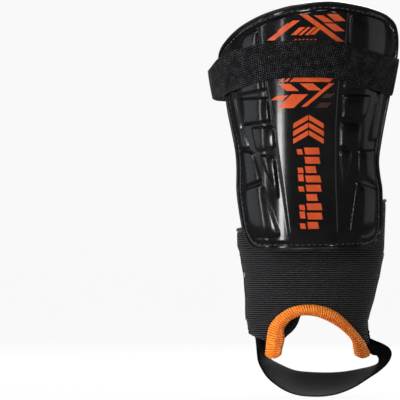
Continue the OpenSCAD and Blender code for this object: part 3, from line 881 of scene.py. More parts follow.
# %% [markdown]
# ## Loop pile, hook and elastic
# The front strap is brushed loop tape: short curled fibres in wavy rows, dull black with a soft sheen at
# grazing angles. The tab carries stiff hooks on its inner face, and the calf band is ribbed elastic. All
# three are drawn along and across their own cloth map, so the rows turn with the strap.

# %% Strap finishes
strap_pile = Finish("loop_pile", Roughness=0.95, Specular_IOR_Level=0.12, Sheen_Weight=0.05,
                    Sheen_Roughness=0.4)
place = strap_pile.place()
u, v = strap_pile.cloth()
curl = strap_pile.noise(place, 0.9, 4.0, 0.7)
fluff = strap_pile.noise(place, 0.16, 3.0)
rows = ((v * 3.3) + (u * 1.6).wave() * 1.7 + curl * 3.4).wave() * 0.5 + 0.5
ribs = ((u * 3.6) + curl * 3.6).wave() * 0.5 + 0.5
pile = rows * 0.4 + ribs * 0.35 + curl.step(0.3, 0.75) * 0.5
bright = pile.step(0.5, 1.0) * (fluff.step(0.3, 0.7) * 0.75 + 0.25)
strap_pile.colour(bright, (0.0015, 0.0015, 0.0017), (0.062, 0.062, 0.067))
strap_pile.bump(pile, 0.5, 1.0).bump(fluff, 0.6, 0.35)

hook_tape = Finish("hook_tape", Roughness=0.45, Specular_IOR_Level=0.4)
u, v = hook_tape.cloth()
pegs = ((u * 5.2).wave() * (v * 5.2).wave()).step(0.1, 0.7)
hook_tape.colour(pegs, (0.006, 0.006, 0.007), (0.05, 0.05, 0.055))
hook_tape.bump(pegs, 0.5, 0.9)

calf_elastic = Finish("ribbed_elastic", Roughness=0.8, Specular_IOR_Level=0.3, Sheen_Weight=0.15,
                      Sheen_Roughness=0.4)
place = calf_elastic.place()
u, v = calf_elastic.cloth()
cords = (v * 3.1).wave() * 0.5 + 0.5
picks = ((u * 5.4) + (v * 1.55).wave() * 2.0).wave() * 0.5 + 0.5
lint = calf_elastic.noise(place, 0.9, 3.0)
weave = cords * 0.6 + picks * 0.4
calf_elastic.colour(weave * 0.7 + lint * 0.3, (0.006, 0.006, 0.007), (0.034, 0.034, 0.037))
calf_elastic.bump(weave, 0.3, 0.9)

# %% [markdown]
# ## The strap over the shell
# The strap starts behind the right edge, folds tightly round the rim, rises over the front in a shallow
# arch and runs off the left edge, where it stands clear of the shell and leans in a little at its lower
# edge. Its edges are tables of heights against the angle round the leg. The fold stays with the guard.

# %% Strap surface
STRAP_LOW = [(-130, 241.5), (-112, 241.2), (-90, 239.8), (-74, 238.6), (-66, 238.4), (-61, 240), (-57.5, 243),
             (-51.9, 245.3), (-38.2, 249.8), (-26.3, 253.2), (-16.3, 255), (-3.2, 256.2), (13.4, 254.9),
             (26.4, 251.2), (42, 245.6), (51.4, 243), (58.5, 242), (70, 242)]
STRAP_HIGH = [(-130, 263), (-112, 263), (-100, 262.8), (-90, 263.4), (-80, 265), (-72, 268.4), (-65.1, 272.2),
              (-47.2, 278.6), (-29.1, 282.6), (-20.6, 284.1), (-1, 285.6), (15.5, 284.1), (32.6, 279.2),
              (45.4, 275), (51.8, 273.3), (58.5, 272), (70, 271)]
RIGHT_EDGE = [(225, 61.2), (240, 64), (256, 67.2), (272.8, 70.4), (288, 71.2)]


def right_edge_s(z):
    return flat(np.interp(z, *np.array(RIGHT_EDGE).T), z)


STRAP_LIFT, STRAP_HALF = 3.9, 0.9  # middle surface over the bare face, and half the strap's thickness


def strap_point(angle, v, out=0.0):
    """A point of the strap at an angle round the leg, v across it, and out from its middle surface."""
    low, high = table(STRAP_LOW, angle)[0], table(STRAP_HIGH, angle)[0]
    z = (low + high) / 2 + v * (high - low) / 2
    lift = STRAP_LIFT - 0.5 * smooth_share(-angle, 86, 96) - 1.2 * smooth_share(angle, 42, 57)
    lean = smooth_share(-angle, 62, 84) * (1.5 * v - 1.0) * (1 - 0.55 * smooth_share(-angle, 88, 104))
    ripple = 0.12 * np.sin(angle * 0.21 + 1.3 * v) * (1 - np.abs(v)) + 0.25 * (1 - v ** 2)
    r = face_r(z) + lift + lean + ripple + out
    a = np.radians(angle)
    return np.stack([r * np.sin(a), -r * np.cos(a), z + 0 * a], -1)


turns = np.linspace(0, 1, 150)[:, None]
tall = ACROSS[None, :]
low_right, high_right = table(STRAP_LOW, 58.5)[0], table(STRAP_HIGH, 58.5)[0]
z_right = (low_right + high_right) / 2 + tall * (high_right - low_right) / 2
start_angle = np.degrees((right_edge_s(z_right) - 6) / face_r(z_right))
front_middle = strap_point(start_angle + (-84 - start_angle) * turns, tall + 0 * turns)
front_strap = band("front_strap", front_middle, STRAP_HALF, strap_pile)
pivot_end = strap_point(np.array([48.0]), np.array([0.0]))[0] * MM

# %% Fold round the right edge
FOLD = [(-6, -2.7), (-3, -2.6), (-0.8, -2.1), (0.9, -0.6), (1.5, 2), (1.7, 5.5), (1.4, 9.5), (0.2, 12.2),
        (-2.6, 13.3), (-7, 13.5), (-15, 13.5)]
fold_line = even(spline(FOLD, 6), 0.7)
inner = smooth_share(np.arange(len(fold_line)) / len(fold_line), 0.1, 0.6)[:, None]
fold_z = (1 - inner) * z_right + inner * (257 + 14 * tall)
fold_s = right_edge_s(fold_z) + fold_line[:, :1]
fold_depth = fold_line[:, 1:2] + 0 * fold_z
fold_middle = on_face(fold_s, fold_z, fold_depth)
fold_middle[0] = front_middle[0]
strap_fold = band("strap_fold", fold_middle, STRAP_HALF, strap_pile)

# %% Left end and tab
tab_turns = np.linspace(-83.2, -119, 44)[:, None]
tab_middle = strap_point(tab_turns, ACROSS[None, :] * (1 - 0.16 * smooth_share(-tab_turns, 115.6, 119.3)))
tab_strap = band("strap_tab", tab_middle, 0.88, strap_pile)
hook_turns = np.linspace(-99.5, -117, 24)[:, None]
hook_piece = band("tab_hooks", strap_point(hook_turns, ACROSS[None, :] * 0.88, -1.3), 0.4, hook_tape)

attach(strap_fold, "guard")
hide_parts("strap_anchor")
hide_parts("strap_band")
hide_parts("tab_band")
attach(hook_piece, "tab")
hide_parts("hook_patch")
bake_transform(front_strap)
tuple(strap_point(np.array([-91.0]), np.array([0.0]))[0] * MM)
tuple(strap_point(np.array([-97.0]), np.array([0.0]))[0] * MM)
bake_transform(tab_strap)

# %% [markdown]
# ## Calf band
# The band behind the calf is sewn to the back of the guard at the right and comes round to the left, where
# a loop patch takes the hooks. It is elastic, so it narrows a little where it is pulled, and sags slightly
# at the back.

# %% Calf band piece
back_r, calf_r = face_r(242) - 12.6, face_r(239) - 0.4


def around(angle, r):
    return (r * math.sin(math.radians(angle)), -r * math.cos(math.radians(angle)))


calf_points = [around(46, back_r - 2.7), around(56, back_r - 3), (57, -14), (60.5, 3), (57, 23), (43, 43),
               (20, 55), (-8, 58), (-36, 54)] + [around(-126 + 28 * i / 6, calf_r) for i in range(7)]
calf_line = even(spline(calf_points, 10), 2.0)
share = np.linspace(0, 1, len(calf_line))[:, None]
pull = np.sin(np.pi * share) ** 2
calf_z = 253 - 1.6 * pull + ACROSS[None, :] * (14 - 1.2 * pull)
calf_middle = np.stack([calf_line[:, :1] + 0 * calf_z, calf_line[:, 1:2] + 0 * calf_z, calf_z], -1)
calf_piece = band("calf_elastic_band", calf_middle, 0.8, calf_elastic)
patch_turns = np.linspace(-99, -117, 26)[:, None]
patch_r, patch_z = calf_r + 1.62, 253 + 12.8 * ACROSS[None, :]
patch_middle = np.stack([patch_r * np.sin(np.radians(patch_turns)) + 0 * patch_z,
                         -patch_r * np.cos(np.radians(patch_turns)) + 0 * patch_z,
                         patch_z + 0 * patch_turns], -1)
patch_piece = band("calf_loop_pile", patch_middle, 0.45, strap_pile)
for piece, node in ((calf_piece, "calf_band"), (patch_piece, "calf_loop_patch")):
    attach(piece, "guard")
    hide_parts(node)

# %% [markdown]
# ## Stitches on the straps
# Rows of stitches hold the hook patch and the two sewn ends. Each row follows the strap's own
# surface.


# %% Strap stitch rows
STRAP_STITCH, STRAP_PITCH, STRAP_LEAN = (1.9, 0.7, 0.55), 2.3, 12


def strap_row(name, angle, reach=0.86, out=0.95):
    path = strap_point(np.full(15, float(angle)), np.linspace(-reach, reach, 15), out)
    a = math.radians(angle)
    facing = np.tile([math.sin(a), -math.cos(a), 0], (15, 1))
    return stitch_row(name, path, facing, STRAP_PITCH, STRAP_STITCH, black_thread, lean=STRAP_LEAN)


def join(name, rows):
    """Several rows made one piece."""
    work = bmesh.new()
    for row in rows:
        work.from_mesh(row.data)
    rows[0].data.clear_geometry()
    work.to_mesh(rows[0].data)
    work.free()
    for row in rows[1:]:
        bpy.data.objects.remove(row)
    rows[0].name = name
    rows[0].data.shade_smooth()
    return rows[0]


strap_rows = join("strap_end_stitches",
                  [strap_row("strap_row_%d" % i, a) for i, a in enumerate((-78, -82, -86))])
tab_rows = join("tab_stitches", [strap_row("tab_row_%d" % i, a) for i, a in enumerate((-98.5, -116.4))])
anchor_rows = []
for i, gap in enumerate((-13, -10)):
    z = np.linspace(245, 269, 15)
    s = right_edge_s(z) + gap
    anchor_rows.append(stitch_row("anchor_row_%d" % i, on_face(s, z, 14.45 + 0 * z), -face_up(s, z),
                                  STRAP_PITCH, STRAP_STITCH, black_thread, lean=STRAP_LEAN))
anchor_rows = join("anchor_stitches", anchor_rows)
for piece, body, node in ((strap_rows, "strap", "strap_stitching"), (tab_rows, "tab", "tab_stitching"),
                          (anchor_rows, "guard", "anchor_stitching")):
    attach(piece, body)
    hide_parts(node)

# %% [markdown]
# ## Knit sleeve
# The sleeve is one knitted tube, from the hem inside the guard down to the ankle, with an arch cut over the
# instep and another over the heel. A boolean cut would leave ragged edges, so the mesh is laid out from its
# own lower edge: the edge is drawn as one loop of angle and height, and every column of the tube starts on
# it and fans out to even spacing higher up. Slow folds are added afterwards, fading out near the edges.

# %% Sleeve's oval
SLEEVE_Y = -10.0
SLEEVE_R = 46.0  # turns angles round the sleeve into millimetres
KNIT_HALF = 0.9  # half the knit's thickness, so its middle surface lies this deep
SLEEVE_AT = [34, 44, 50, 62, 96, 112, 121, 160]
HALF_WIDE = [47.7, 47.7, 48.5, 49.2, 54.4, 57.3, 59.5, 60.6]
MIDDLE_X = [2.0, 2.0, 0.2, -1.1, 2.3, 2.5, 1.6, 1.9]


def half_wide(z):
    return np.interp(z, SLEEVE_AT, HALF_WIDE)


def middle_x(z):
    return np.interp(z, SLEEVE_AT, MIDDLE_X)


def half_deep(z, front):
    deep = np.interp(z, [34, 56, 68, 160], [34, 34, 36, 36])
    return deep + 3 * np.clip(front, 0, 1)


def on_sleeve(a, z, depth=0.0):
    """Place at the angle a (radians, 0 in front) and height z, depth under the outer face of the knit."""
    deep = half_deep(z, smooth_share(np.cos(a), -0.15, 0.15)) - depth
    return np.stack([middle_x(z) + (half_wide(z) - depth) * np.sin(a), SLEEVE_Y - deep * np.cos(a),
                     z + 0 * a], -1)


FRONT_ARCH = [(-35.4, 30), (-35, 38), (-34.2, 48), (-32.2, 57), (-28.2, 63), (-24, 67), (-16.3, 71.7),
              (-8, 74), (1.6, 74.4), (9, 73.6), (15.5, 71.7), (25.4, 65.7), (35.8, 54.8), (41.4, 47.6),
              (45.6, 42), (48.8, 35.5), (50, 30)]
HEM_INSIDE = [(-24.3, 30), (-22.3, 37), (-20, 47), (-20.3, 55), (-15.6, 61.6), (-10.5, 64.6), (-6.4, 66),
              (2.6, 65.6), (11.5, 62.7), (23.5, 55.8), (33.4, 46.4), (35.2, 39), (36.6, 34), (38, 30)]
HEEL_ARCH = [(-31, 30), (-24.5, 40), (-18.4, 47), (-12.6, 52), (-8.6, 57.6), (-5.8, 64.5), (0, 71), (8, 74.6),
             (16, 75), (26, 71), (36, 61), (42, 46), (44, 30)]


def arch_angles(points, back=False, low=44.0):
    line = spline(points, 8)
    line = line[line[:, 1] >= low]
    a = np.arcsin(np.clip((line[:, 0] - middle_x(line[:, 1])) / half_wide(line[:, 1]), -0.995, 0.995))
    return np.stack([np.pi - a if back else a, line[:, 1]], -1)


front_edge, heel_edge = arch_angles(FRONT_ARCH), arch_angles(HEEL_ARCH, back=True)[::-1]
RIGHT_SIDE = [(70, 42.4), (82, 42.2), (92, 44.0), (100, 45.8)]
LEFT_SIDE = [(228, 46.6), (256, 49.2), (276, 49.6), (294, 47.6), (308, 45)]
right_side, left_side = ([(math.radians(a), z) for a, z in edge] for edge in (RIGHT_SIDE, LEFT_SIDE))
loop = np.vstack([front_edge, right_side, heel_edge, left_side, front_edge[:1] + [[2 * np.pi, 0]]])
loop_mm = even(loop * [SLEEVE_R, 1.0], 1.35)
edge_a, edge_z = loop_mm[:-1, 0] / SLEEVE_R, loop_mm[:-1, 1]
COLUMNS = len(edge_a)
wide = COLUMNS // 5
wrapped = np.concatenate([edge_a[-wide:] - 2 * np.pi, edge_a, edge_a[:wide] + 2 * np.pi])
even_a = np.convolve(wrapped, np.ones(2 * wide + 1) / (2 * wide + 1), mode="valid")
print("sleeve edge loop of", COLUMNS, "columns")

# %% Sleeve surface
ROWS = 84
TOP_Z, TOP_TILT = 144.6, 0.2 * 59  # the top edge stands higher at the right
up = np.linspace(0, 1, ROWS)[None, :]
top_z = TOP_Z + TOP_TILT * np.sin(even_a)[:, None]
sleeve_z = edge_z[:, None] + (top_z - edge_z[:, None]) * up
sleeve_a = edge_a[:, None] + (even_a - edge_a)[:, None] * smooth_share(up, 0, 0.62)


def folds(a, z):
    """Slow folds of the worn knit, in mm, gone at the edges and inside the guard."""
    calm = smooth_share(z, 44, 54) * (1 - smooth_share(z, 112, 124))
    side = np.exp(-((np.mod(a + np.pi, 2 * np.pi) - np.pi + 1.15) / 0.75) ** 2)
    pull = np.exp(-((z - 47 - 9 * (a + 1.0)) / 3.4) ** 2) * side * 1.5
    slack = (0.34 * np.sin(0.155 * z + 2.1 * np.sin(a + 0.7)) + 0.22 * np.sin(0.31 * z - 3 * a + 1.0)
             + 0.2 * np.sin(5 * a + 0.05 * z))
    return calm * slack * (1 - 0.5 * np.abs(np.sin(a))) + smooth_share(z, 36, 44) * pull * -0.6


knit_middle = on_sleeve(sleeve_a, sleeve_z, KNIT_HALF - folds(sleeve_a, sleeve_z))
knit_uv = np.stack([sleeve_a * 50.0, sleeve_z], -1)

# %% Knit finish
knit_black = Finish("ribbed_knit", Roughness=0.88, Specular_IOR_Level=0.25, Sheen_Weight=0.10,
                    Sheen_Roughness=0.4)
place = knit_black.place()
u, v = knit_black.cloth()
wander = knit_black.noise(place, 0.22, 2.0)
yarn = knit_black.noise(place, 1.2, 3.0, 0.65)
courses = ((v * 3.75) + wander * 3.0).wave() * 0.5 + 0.5
wales = ((u * 4.6) + (v * 1.87).wave() * 0.6).wave() * 0.5 + 0.5
knit = courses * (0.72 + wales * 0.28)
bright = (knit * 0.75 + yarn * 0.75).step(0.62, 1.12)
knit_black.colour(bright, (0.003, 0.003, 0.0034), (0.056, 0.057, 0.060))
knit_black.bump(knit, 0.5, 1.0).bump(yarn, 0.12, 0.6)

# %% Sleeve piece
height_rule = 2 * up[0] - 1
sleeve = band("knit_sleeve", knit_middle, KNIT_HALF, knit_black, closed=True, roll=60.0, across=height_rule,
              uv=knit_uv)
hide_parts("sleeve_tube", "sleeve_flex", "sleeve_yoke")
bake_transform(sleeve)

# %% [markdown]
# ## Overlocked arch
# The front arch is closed by a fat rolled edge in orange thread. Overlock thread lies side by side across
# the roll, so the roll's own mesh carries a ridge for each turn of thread, and a row of small loops runs
# along its inner side, where the two threads lock.

# %% Orange thread finish
THREAD_TURN, THREAD_WAVE = 1.9, 3.307  # mm for one turn of thread, and the same turn as radians for each mm
orange_thread = Finish("orange_overlock_thread", Roughness=0.6, Specular_IOR_Level=0.35, Sheen_Weight=0.15,
                       Sheen_Roughness=0.4)
place = orange_thread.place()
u, v = orange_thread.cloth()
turn_of_thread = ((u * THREAD_WAVE) + v * 0.25).wave() * 0.5 + 0.5
strands = ((v * 2.2) + (u * 9.6).wave() * 0.8).wave() * 0.5 + 0.5
mottle = orange_thread.noise(place, 0.25, 2.0)
tint = orange_thread.blend(mottle.step(0.3, 0.7), (0.92, 0.215, 0.012, 1), (1.0, 0.32, 0.03, 1))
# Painted shade: the thread is darkened in the gaps between its turns and at the lock teeth on the inner side,
# where shade falls; the teeth also dent the bump.
teeth_dent_and_shade = (u * THREAD_WAVE).wave().step(-0.2, 0.6) * (0.0 - v).step(0.4, 1.8)
shade = turn_of_thread.step(0.0, 0.45) * (1 - teeth_dent_and_shade * 0.8)
# The dark colour is the painted shade of those gaps; the bright one is the thread's own mottled orange.
orange_thread.feed("Base Color", orange_thread.blend(shade, (0.46, 0.075, 0.006, 1), tint))
orange_thread.bump(turn_of_thread * 0.7 + strands * 0.2 - teeth_dent_and_shade * 0.5, 0.4, 0.9)


# %% Rolled arch
def arch_strip(outer, inner, pitch, across=ACROSS, low=31.0):
    """Middle surface between two arches drawn from the front, following the oval of the sleeve."""
    a, b = (spline(p, 10) for p in (outer, inner))
    a, b = a[a[:, 1] >= low], b[b[:, 1] >= low]
    share = np.linspace(0, 1, max(len(even(a, pitch)), len(even(b, pitch))))
    lines = []
    for line in (a, b):
        run = np.concatenate([[0], np.cumsum(np.linalg.norm(np.diff(line, axis=0), axis=1))])
        lines.append(np.stack([np.interp(share * run[-1], run, line[:, k]) for k in (0, 1)], -1))
    v = (across[None, :, None] + 1) / 2
    return lines[1][:, None] * (1 - v) + lines[0][:, None] * v


def place_on_front(seen, out):
    x, z = seen[..., 0], seen[..., 1]
    share = np.clip((x - middle_x(z)) / half_wide(z), -0.9, 0.9)
    deep = half_deep(z, 1.0) + out
    return np.stack([x, SLEEVE_Y - deep * np.sqrt(1 - share ** 2), z + 0 * x], -1)


HEM_STEP, HEM_HALF_THICK, KNOB_REACH, RIDGE = 0.325, 2.1, 4.2, 0.42
hem_seen = arch_strip(FRONT_ARCH, HEM_INSIDE, HEM_STEP)
hem_run = np.arange(len(hem_seen)) * HEM_STEP
hem_bulge = 0.9 * (1 - ACROSS[None, :] ** 2) - 0.6
from_tip = np.minimum(np.arange(len(hem_seen)), np.arange(len(hem_seen))[::-1])[:, None] * HEM_STEP
knob = np.sqrt(np.clip(1 - (1 - np.minimum(from_tip, KNOB_REACH) / KNOB_REACH) ** 2.2, 0.02, 1))
knob = knob + 0.05 * np.exp(-((from_tip - 5) / 2.5) ** 2)
hem_centre = hem_seen.mean(1, keepdims=True)
hem_seen = hem_centre + (hem_seen - hem_centre) * knob[..., None]
hem_middle = place_on_front(hem_seen, hem_bulge)
turn_ridge = (RIDGE * np.abs(np.sin(np.pi * hem_run / THREAD_TURN))[:, None] ** 0.7
              * (0.6 + 0.4 * (ACROSS[None, :] > -0.5)))
swell = 0.35 * np.sin(hem_run * 0.11)[:, None] * (1 - ACROSS[None, :] ** 2)
thin_ends = HEM_HALF_THICK * (np.minimum(knob, 1) - 1)
arch_roll = band("overlocked_arch", hem_middle, HEM_HALF_THICK, orange_thread, roll=2.6,
                 ridges=turn_ridge + swell + thin_ends)
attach(arch_roll, "sleeve")
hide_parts("arch_hem")

# %% Locking loops along the roll
lock_seen = hem_seen[:, 4]
lock_line = place_on_front(lock_seen, 1.9)
tip_up = unit(np.stack([(lock_seen[:, 0] - middle_x(lock_seen[:, 1])) / SLEEVE_R, -np.ones(len(lock_seen)),
                        np.zeros(len(lock_seen))], -1))
inside_ends = slice(14, -14, 4)
lock_loops = stitch_row("overlock_loops", lock_line[inside_ends], tip_up[inside_ends], THREAD_TURN,
                        (1.5, 2.4, 1.5), orange_thread, ring=True, thread=0.16)
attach(lock_loops, "sleeve")

# %% [markdown]
# ## Heel edge and the hem inside the guard
# The heel arch and the top of the sleeve have narrow dark bindings: a folded tape, sewn flat.

# %% Dark binding finish
slate_tape = Finish("slate_tape", Roughness=0.75, Specular_IOR_Level=0.3, Sheen_Weight=0.2,
                    Sheen_Roughness=0.4)
place = slate_tape.place()
u, v = slate_tape.cloth()
threads = (u * 6.2).wave() * 0.25 + (v * 6.2).wave() * 0.25 + 0.5
patchy = slate_tape.noise(place, 0.12, 3.0)
slate_tape.colour(threads * 0.5 + patchy * 0.5, (0.010, 0.013, 0.015), (0.042, 0.050, 0.055))
slate_tape.bump(threads, 0.16, 0.8)

# %% Heel and top bindings
heel_line = even(arch_angles(HEEL_ARCH, back=True) * [SLEEVE_R, 1.0], 1.0) / [SLEEVE_R, 1.0]
heel_t = unit(np.gradient(heel_line * [SLEEVE_R, 1.0], axis=0))
heel_n = np.stack([-heel_t[:, 1], heel_t[:, 0]], -1)
if heel_n[len(heel_n) // 2, 1] < 0:
    heel_n = -heel_n
flat_heel = heel_line[:, None] * [SLEEVE_R, 1.0] + heel_n[:, None] * (1.3 + 1.6 * ACROSS[None, :, None])
heel_middle = on_sleeve(flat_heel[..., 0] / SLEEVE_R, np.maximum(flat_heel[..., 1], 44.2), KNIT_HALF)
heel_piece = band("heel_binding", heel_middle, 1.45, slate_tape, roll=3.0)
top_a = np.linspace(0, 2 * np.pi, 180, endpoint=False)[:, None]
top_middle = on_sleeve(top_a, TOP_Z + 1.4 + TOP_TILT * np.sin(top_a) + 1.5 * ACROSS[None, :], KNIT_HALF)
top_piece = band("top_binding", top_middle, 1.35, slate_tape, closed=True, roll=3.0)
for piece, body, node in ((heel_piece, "sleeve", "heel_hem"), (top_piece, "guard", "yoke_hem")):
    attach(piece, body)
    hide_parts(node)

# %% [markdown]
# ## Seams of the sleeve
# The tube is closed at each side by a flat seam: a low ridge with a zigzag thread over it. The yoke is
# caught to the guard by one row of stitches across its front.

# %% Side seams and yoke row
for side, node in ((-1, "side_seam_inner"), (1, "side_seam_outer")):
    z = np.linspace(62, 114, 40)
    a = np.full(40, side * np.pi / 2)
    path = on_sleeve(a, z, KNIT_HALF - folds(a, z) - 1.0)
    facing = np.tile([side, 0.0, -0.18], (40, 1))
    ridge = band("seam_ridge_%d" % (side + 1),
                 np.stack([path + [[0, w, 0]] for w in 1.1 * ACROSS], 1), 0.4, knit_black, roll=3.0)
    raised = path + unit(facing) * 0.4
    zigzag = join("seam_thread_%d" % (side + 1),
                  [stitch_row("seam_%s_%d" % (leg, side + 1), raised + [[0, 0, up_by]], facing, 2.2,
                              (2.4, 0.5, 0.45), knit_black, lean=lean)
                   for leg, up_by, lean in (("a", 0.0, 38), ("b", 1.1, -38))])
    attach(ridge, "sleeve")
    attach(zigzag, "sleeve")
    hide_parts(node)
a = np.radians(np.linspace(-34, 34, 30))
facing = np.stack([np.sin(a), -np.cos(a), 0 * a], -1)
yoke_row = stitch_row("yoke_stitches", on_sleeve(a, 131 + 0 * a, -0.15), facing, 3.2, (2.4, 0.7, 0.6),
                      black_thread)
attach(yoke_row, "guard")
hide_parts("yoke_stitching")

# %% [markdown]
# ## Stirrup
# The stirrup is a strip of smooth elastic that leaves the sleeve at both sides and passes under the foot.
# It is wide under the arch and narrow where it is sewn on. Its front and back edges are one smooth line of
# points each, and the strip between them sags: most at the middle of the foot and hardly at all where it is
# sewn.

# %% Stirrup piece
# Each row: front edge x and z, back edge x and z, front y, back y, sag.
STIRRUP = [(-37.5, 55, -37.5, 54, -29, 11, 7.0), (-38.2, 48, -33.8, 47, -28.5, 11, 5.6),
           (-39.2, 42, -32.6, 40.5, -28.5, 11, 4.4), (-40.2, 35.6, -32, 35, -29, 11, 2.8),
           (-40, 29, -31, 31, -30, 11, 1.4), (-37.4, 22.6, -28, 28.6, -31.5, 10.5, 0.4),
           (-32.6, 15.8, -23.6, 26.4, -33.5, 10, 0.9), (-25, 9.6, -14.6, 22.4, -36, 10, 2.0),
           (-17, 5.2, -8, 20.6, -38, 10, 3.0), (-8, 2.6, 0, 19.8, -39, 11, 3.7),
           (2, 1.8, 8, 19.4, -40, 11, 3.9), (12, 2, 17, 19.3, -39, 11, 3.8),
           (23, 4, 26, 19.8, -38, 10, 3.3), (35, 8.8, 35, 21, -36, 9, 2.5),
           (46, 15.4, 43.4, 22.6, -33, 8, 1.5), (56.6, 22.4, 50.6, 24.2, -30, 6, 0.7),
           (63, 28.6, 55, 26, -27, 4, 0), (65.4, 34.4, 56, 29, -25, 3, 0.4),
           (63.6, 38.6, 54.6, 31.4, -22, 2, 0.6), (58, 42, 52, 31.8, -20, 1, 0.4),
           (52, 44.4, 49.6, 33.4, -18, 0, 0.2), (48, 47, 46.6, 38.4, -17.5, -1, 0.2),
           (46.4, 54, 46, 49, -17.5, -2, 0.2)]
stirrup_rows = even(spline(STIRRUP, 10), 1.4)
front_line = stirrup_rows[:, [0, 4, 1]]
back_line = stirrup_rows[:, [2, 5, 3]]
side = (ACROSS[None, :, None] + 1) / 2
stirrup_middle = front_line[:, None] * (1 - side) + back_line[:, None] * side
flow = unit(np.gradient(stirrup_rows[:, [0, 1]], axis=0))
push = np.stack([flow[:, 1], 0 * flow[:, 0], -flow[:, 0]], -1)
belly = stirrup_rows[:, 6][:, None, None] * (1 - ACROSS[None, :, None] ** 2)
stirrup_middle = stirrup_middle + push[:, None] * (1.0 + belly)

stirrup_elastic = Finish("stirrup_elastic", Roughness=0.8, Specular_IOR_Level=0.06, Sheen_Weight=0.02,
                         Sheen_Roughness=0.35)
place = stirrup_elastic.place()
u, v = stirrup_elastic.cloth()
lines = (v * 5.0).wave() * 0.5 + 0.5
cross = ((u * 5.6) + (v * 2.5).wave() * 1.2).wave() * 0.5 + 0.5
shade = stirrup_elastic.noise(place, 0.05, 2.0)
mixed = lines * 0.3 + cross * 0.2 + shade * 0.5
stirrup_elastic.colour(mixed, (0.0014, 0.0018, 0.0022), (0.0034, 0.0042, 0.0050))
stirrup_elastic.bump(lines * 0.5 + cross * 0.5, 0.1, 0.7)
stirrup = band("stirrup_elastic", stirrup_middle, 1.05, stirrup_elastic, roll=5.0)
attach(stirrup, "stirrup")
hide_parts("stirrup_band")


# %% Bartacks where the stirrup is sewn on
def bartack(name, places, facing):
    """Two close rows of short stitches at each (x, z) of places."""
    made = []
    for i, (x, z) in enumerate(places):
        path = np.stack([np.full(14, x), np.linspace(-16, -4, 14), np.full(14, z)], -1)
        for j in range(2):
            made.append(stitch_row("%s_%d_%d" % (name, i, j), path + [[0, 0, 0.8 * j]],
                                   np.tile([facing, 0, 0.0], (14, 1)), 0.8, (0.65, 1.4, 0.5), black_thread,
                                   lean=30))
    return join(name, made)


def sleeve_side(z, right):
    return float(middle_x(z) + (half_wide(z) + 0.1) * (1 if right else -1))


left_tack = bartack("bartack_stitches_left", [(sleeve_side(z, False), z) for z in (51.0, 54.4)], -1)
right_tack = bartack("bartack_stitches_right", [(sleeve_side(z, True), z) for z in (48.0, 51.4)], 1)
for piece, node in ((left_tack, "bartack_left"), (right_tack, "bartack_right")):
    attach(piece, "stirrup")
    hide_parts(node)

# %% [markdown]
# ## Padded back
# Behind the skin lie a stiff plate and a slab of foam, faced with brushed knit that is quilted to the foam.
# The facing is made on the same field as the skin: it swells between sewn channels and is pulled flat on
# them, and at the edge it dives under the rolled rim.

# %% Lining finish
lining_knit = Finish("brushed_lining", Roughness=0.92, Specular_IOR_Level=0.2, Sheen_Weight=0.2,
                     Sheen_Roughness=0.5)
place = lining_knit.place()
u, v = lining_knit.cloth()
mesh_holes = ((u * 2.6).wave() * (v * 2.6 + (u * 2.6).wave() * 0.2).wave()).step(0.25, 0.8)
brushed = lining_knit.noise(place, 1.0, 4.0, 0.7)
worn = lining_knit.noise(place, 0.03, 3.0)
nap = brushed * 0.6 + worn * 0.5 - mesh_holes * 0.35
lining_knit.colour(nap, (0.012, 0.012, 0.013), (0.085, 0.087, 0.093))
lining_knit.bump(brushed * 0.4 + mesh_holes * -0.6, 0.4, 0.8)

# %% Quilted facing
CHANNELS = [[(-70, 268), (-30, 246), (0, 240), (30, 246), (70, 268)],
            [(-66, 236), (-28, 214), (0, 208), (28, 214), (66, 236)],
            [(-60, 200), (-26, 180), (0, 175), (26, 180), (60, 200)],
            [(-58, 164), (-24, 147), (0, 143), (24, 147), (58, 164)],
            [(-20, 316), (-20, 117)], [(20, 317), (20, 117)]]
channel_lines = []
nearest = np.full(grid_s.shape, 1e3)
for points in CHANNELS:
    seen = even(spline(points, 12), 1.5)
    line = np.stack([flat(seen[:, 0], seen[:, 1]), seen[:, 1]], -1)
    channel_lines.append(line)
    for a, b in zip(line[:-1:2], line[2::2]):
        d = b - a
        t = np.clip(((grid_s - a[0]) * d[0] + (grid_z - a[1]) * d[1]) / (d @ d), 0, 1)
        nearest = np.minimum(nearest, np.hypot(grid_s - a[0] - t * d[0], grid_z - a[1] - t * d[1]))
swell = 1 - np.exp(-np.minimum(nearest, 30) / 3.2)
puff = swell * smooth_share(from_edge, 2.5, 12)
pucker = 0.12 * np.sin(grid_z * 1.4 + grid_s * 0.9) * np.exp(-nearest / 2.2)
LINING_DEPTH, PUFF_HEIGHT = 10.15, 2.5
tucked = 1.2 * (1 - smooth_share(from_edge, 1.2, 4.5))
facing_lift = -(LINING_DEPTH + PUFF_HEIGHT * puff + 1.5 * pucker - tucked)
facing = field_piece("quilted_lining", facing_lift, from_edge > 1.6, lining_knit, inward=True)
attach(facing, "guard")
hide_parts("lining")
print("quilted_lining", len(facing.data.polygons), "faces, deepest", round(float(-facing_lift.min()), 2))

# %% Quilting stitches
quilt_rows = []
for i, line in enumerate(channel_lines):
    line = line[depth_inside(line, edge_flat) > STITCH_INSET]
    quilt_rows.append(stitch_row("quilt_row_%d" % i, on_face(line[:, 0], line[:, 1], 10.5 + 0 * line[:, 0]),
                                 -face_up(line[:, 0], line[:, 1]), 3.4, (2.4, 0.6, 0.6), black_thread))
quilting = join("quilting_stitches", quilt_rows)
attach(quilting, "guard")

# %% [markdown]
# ## Ankle pads
# Two round foam pads guard the ankle bones, each held to the inside of the sleeve by a cloth cover that is
# domed over the foam and sewn round its edge.

# %% Pad pieces
PAD_R, PAD_Z, RINGS, SPOKES = 21.0, 84, 26, 64
TOP_DEPTH, WALL_DEPTH = 1.75, 1.6


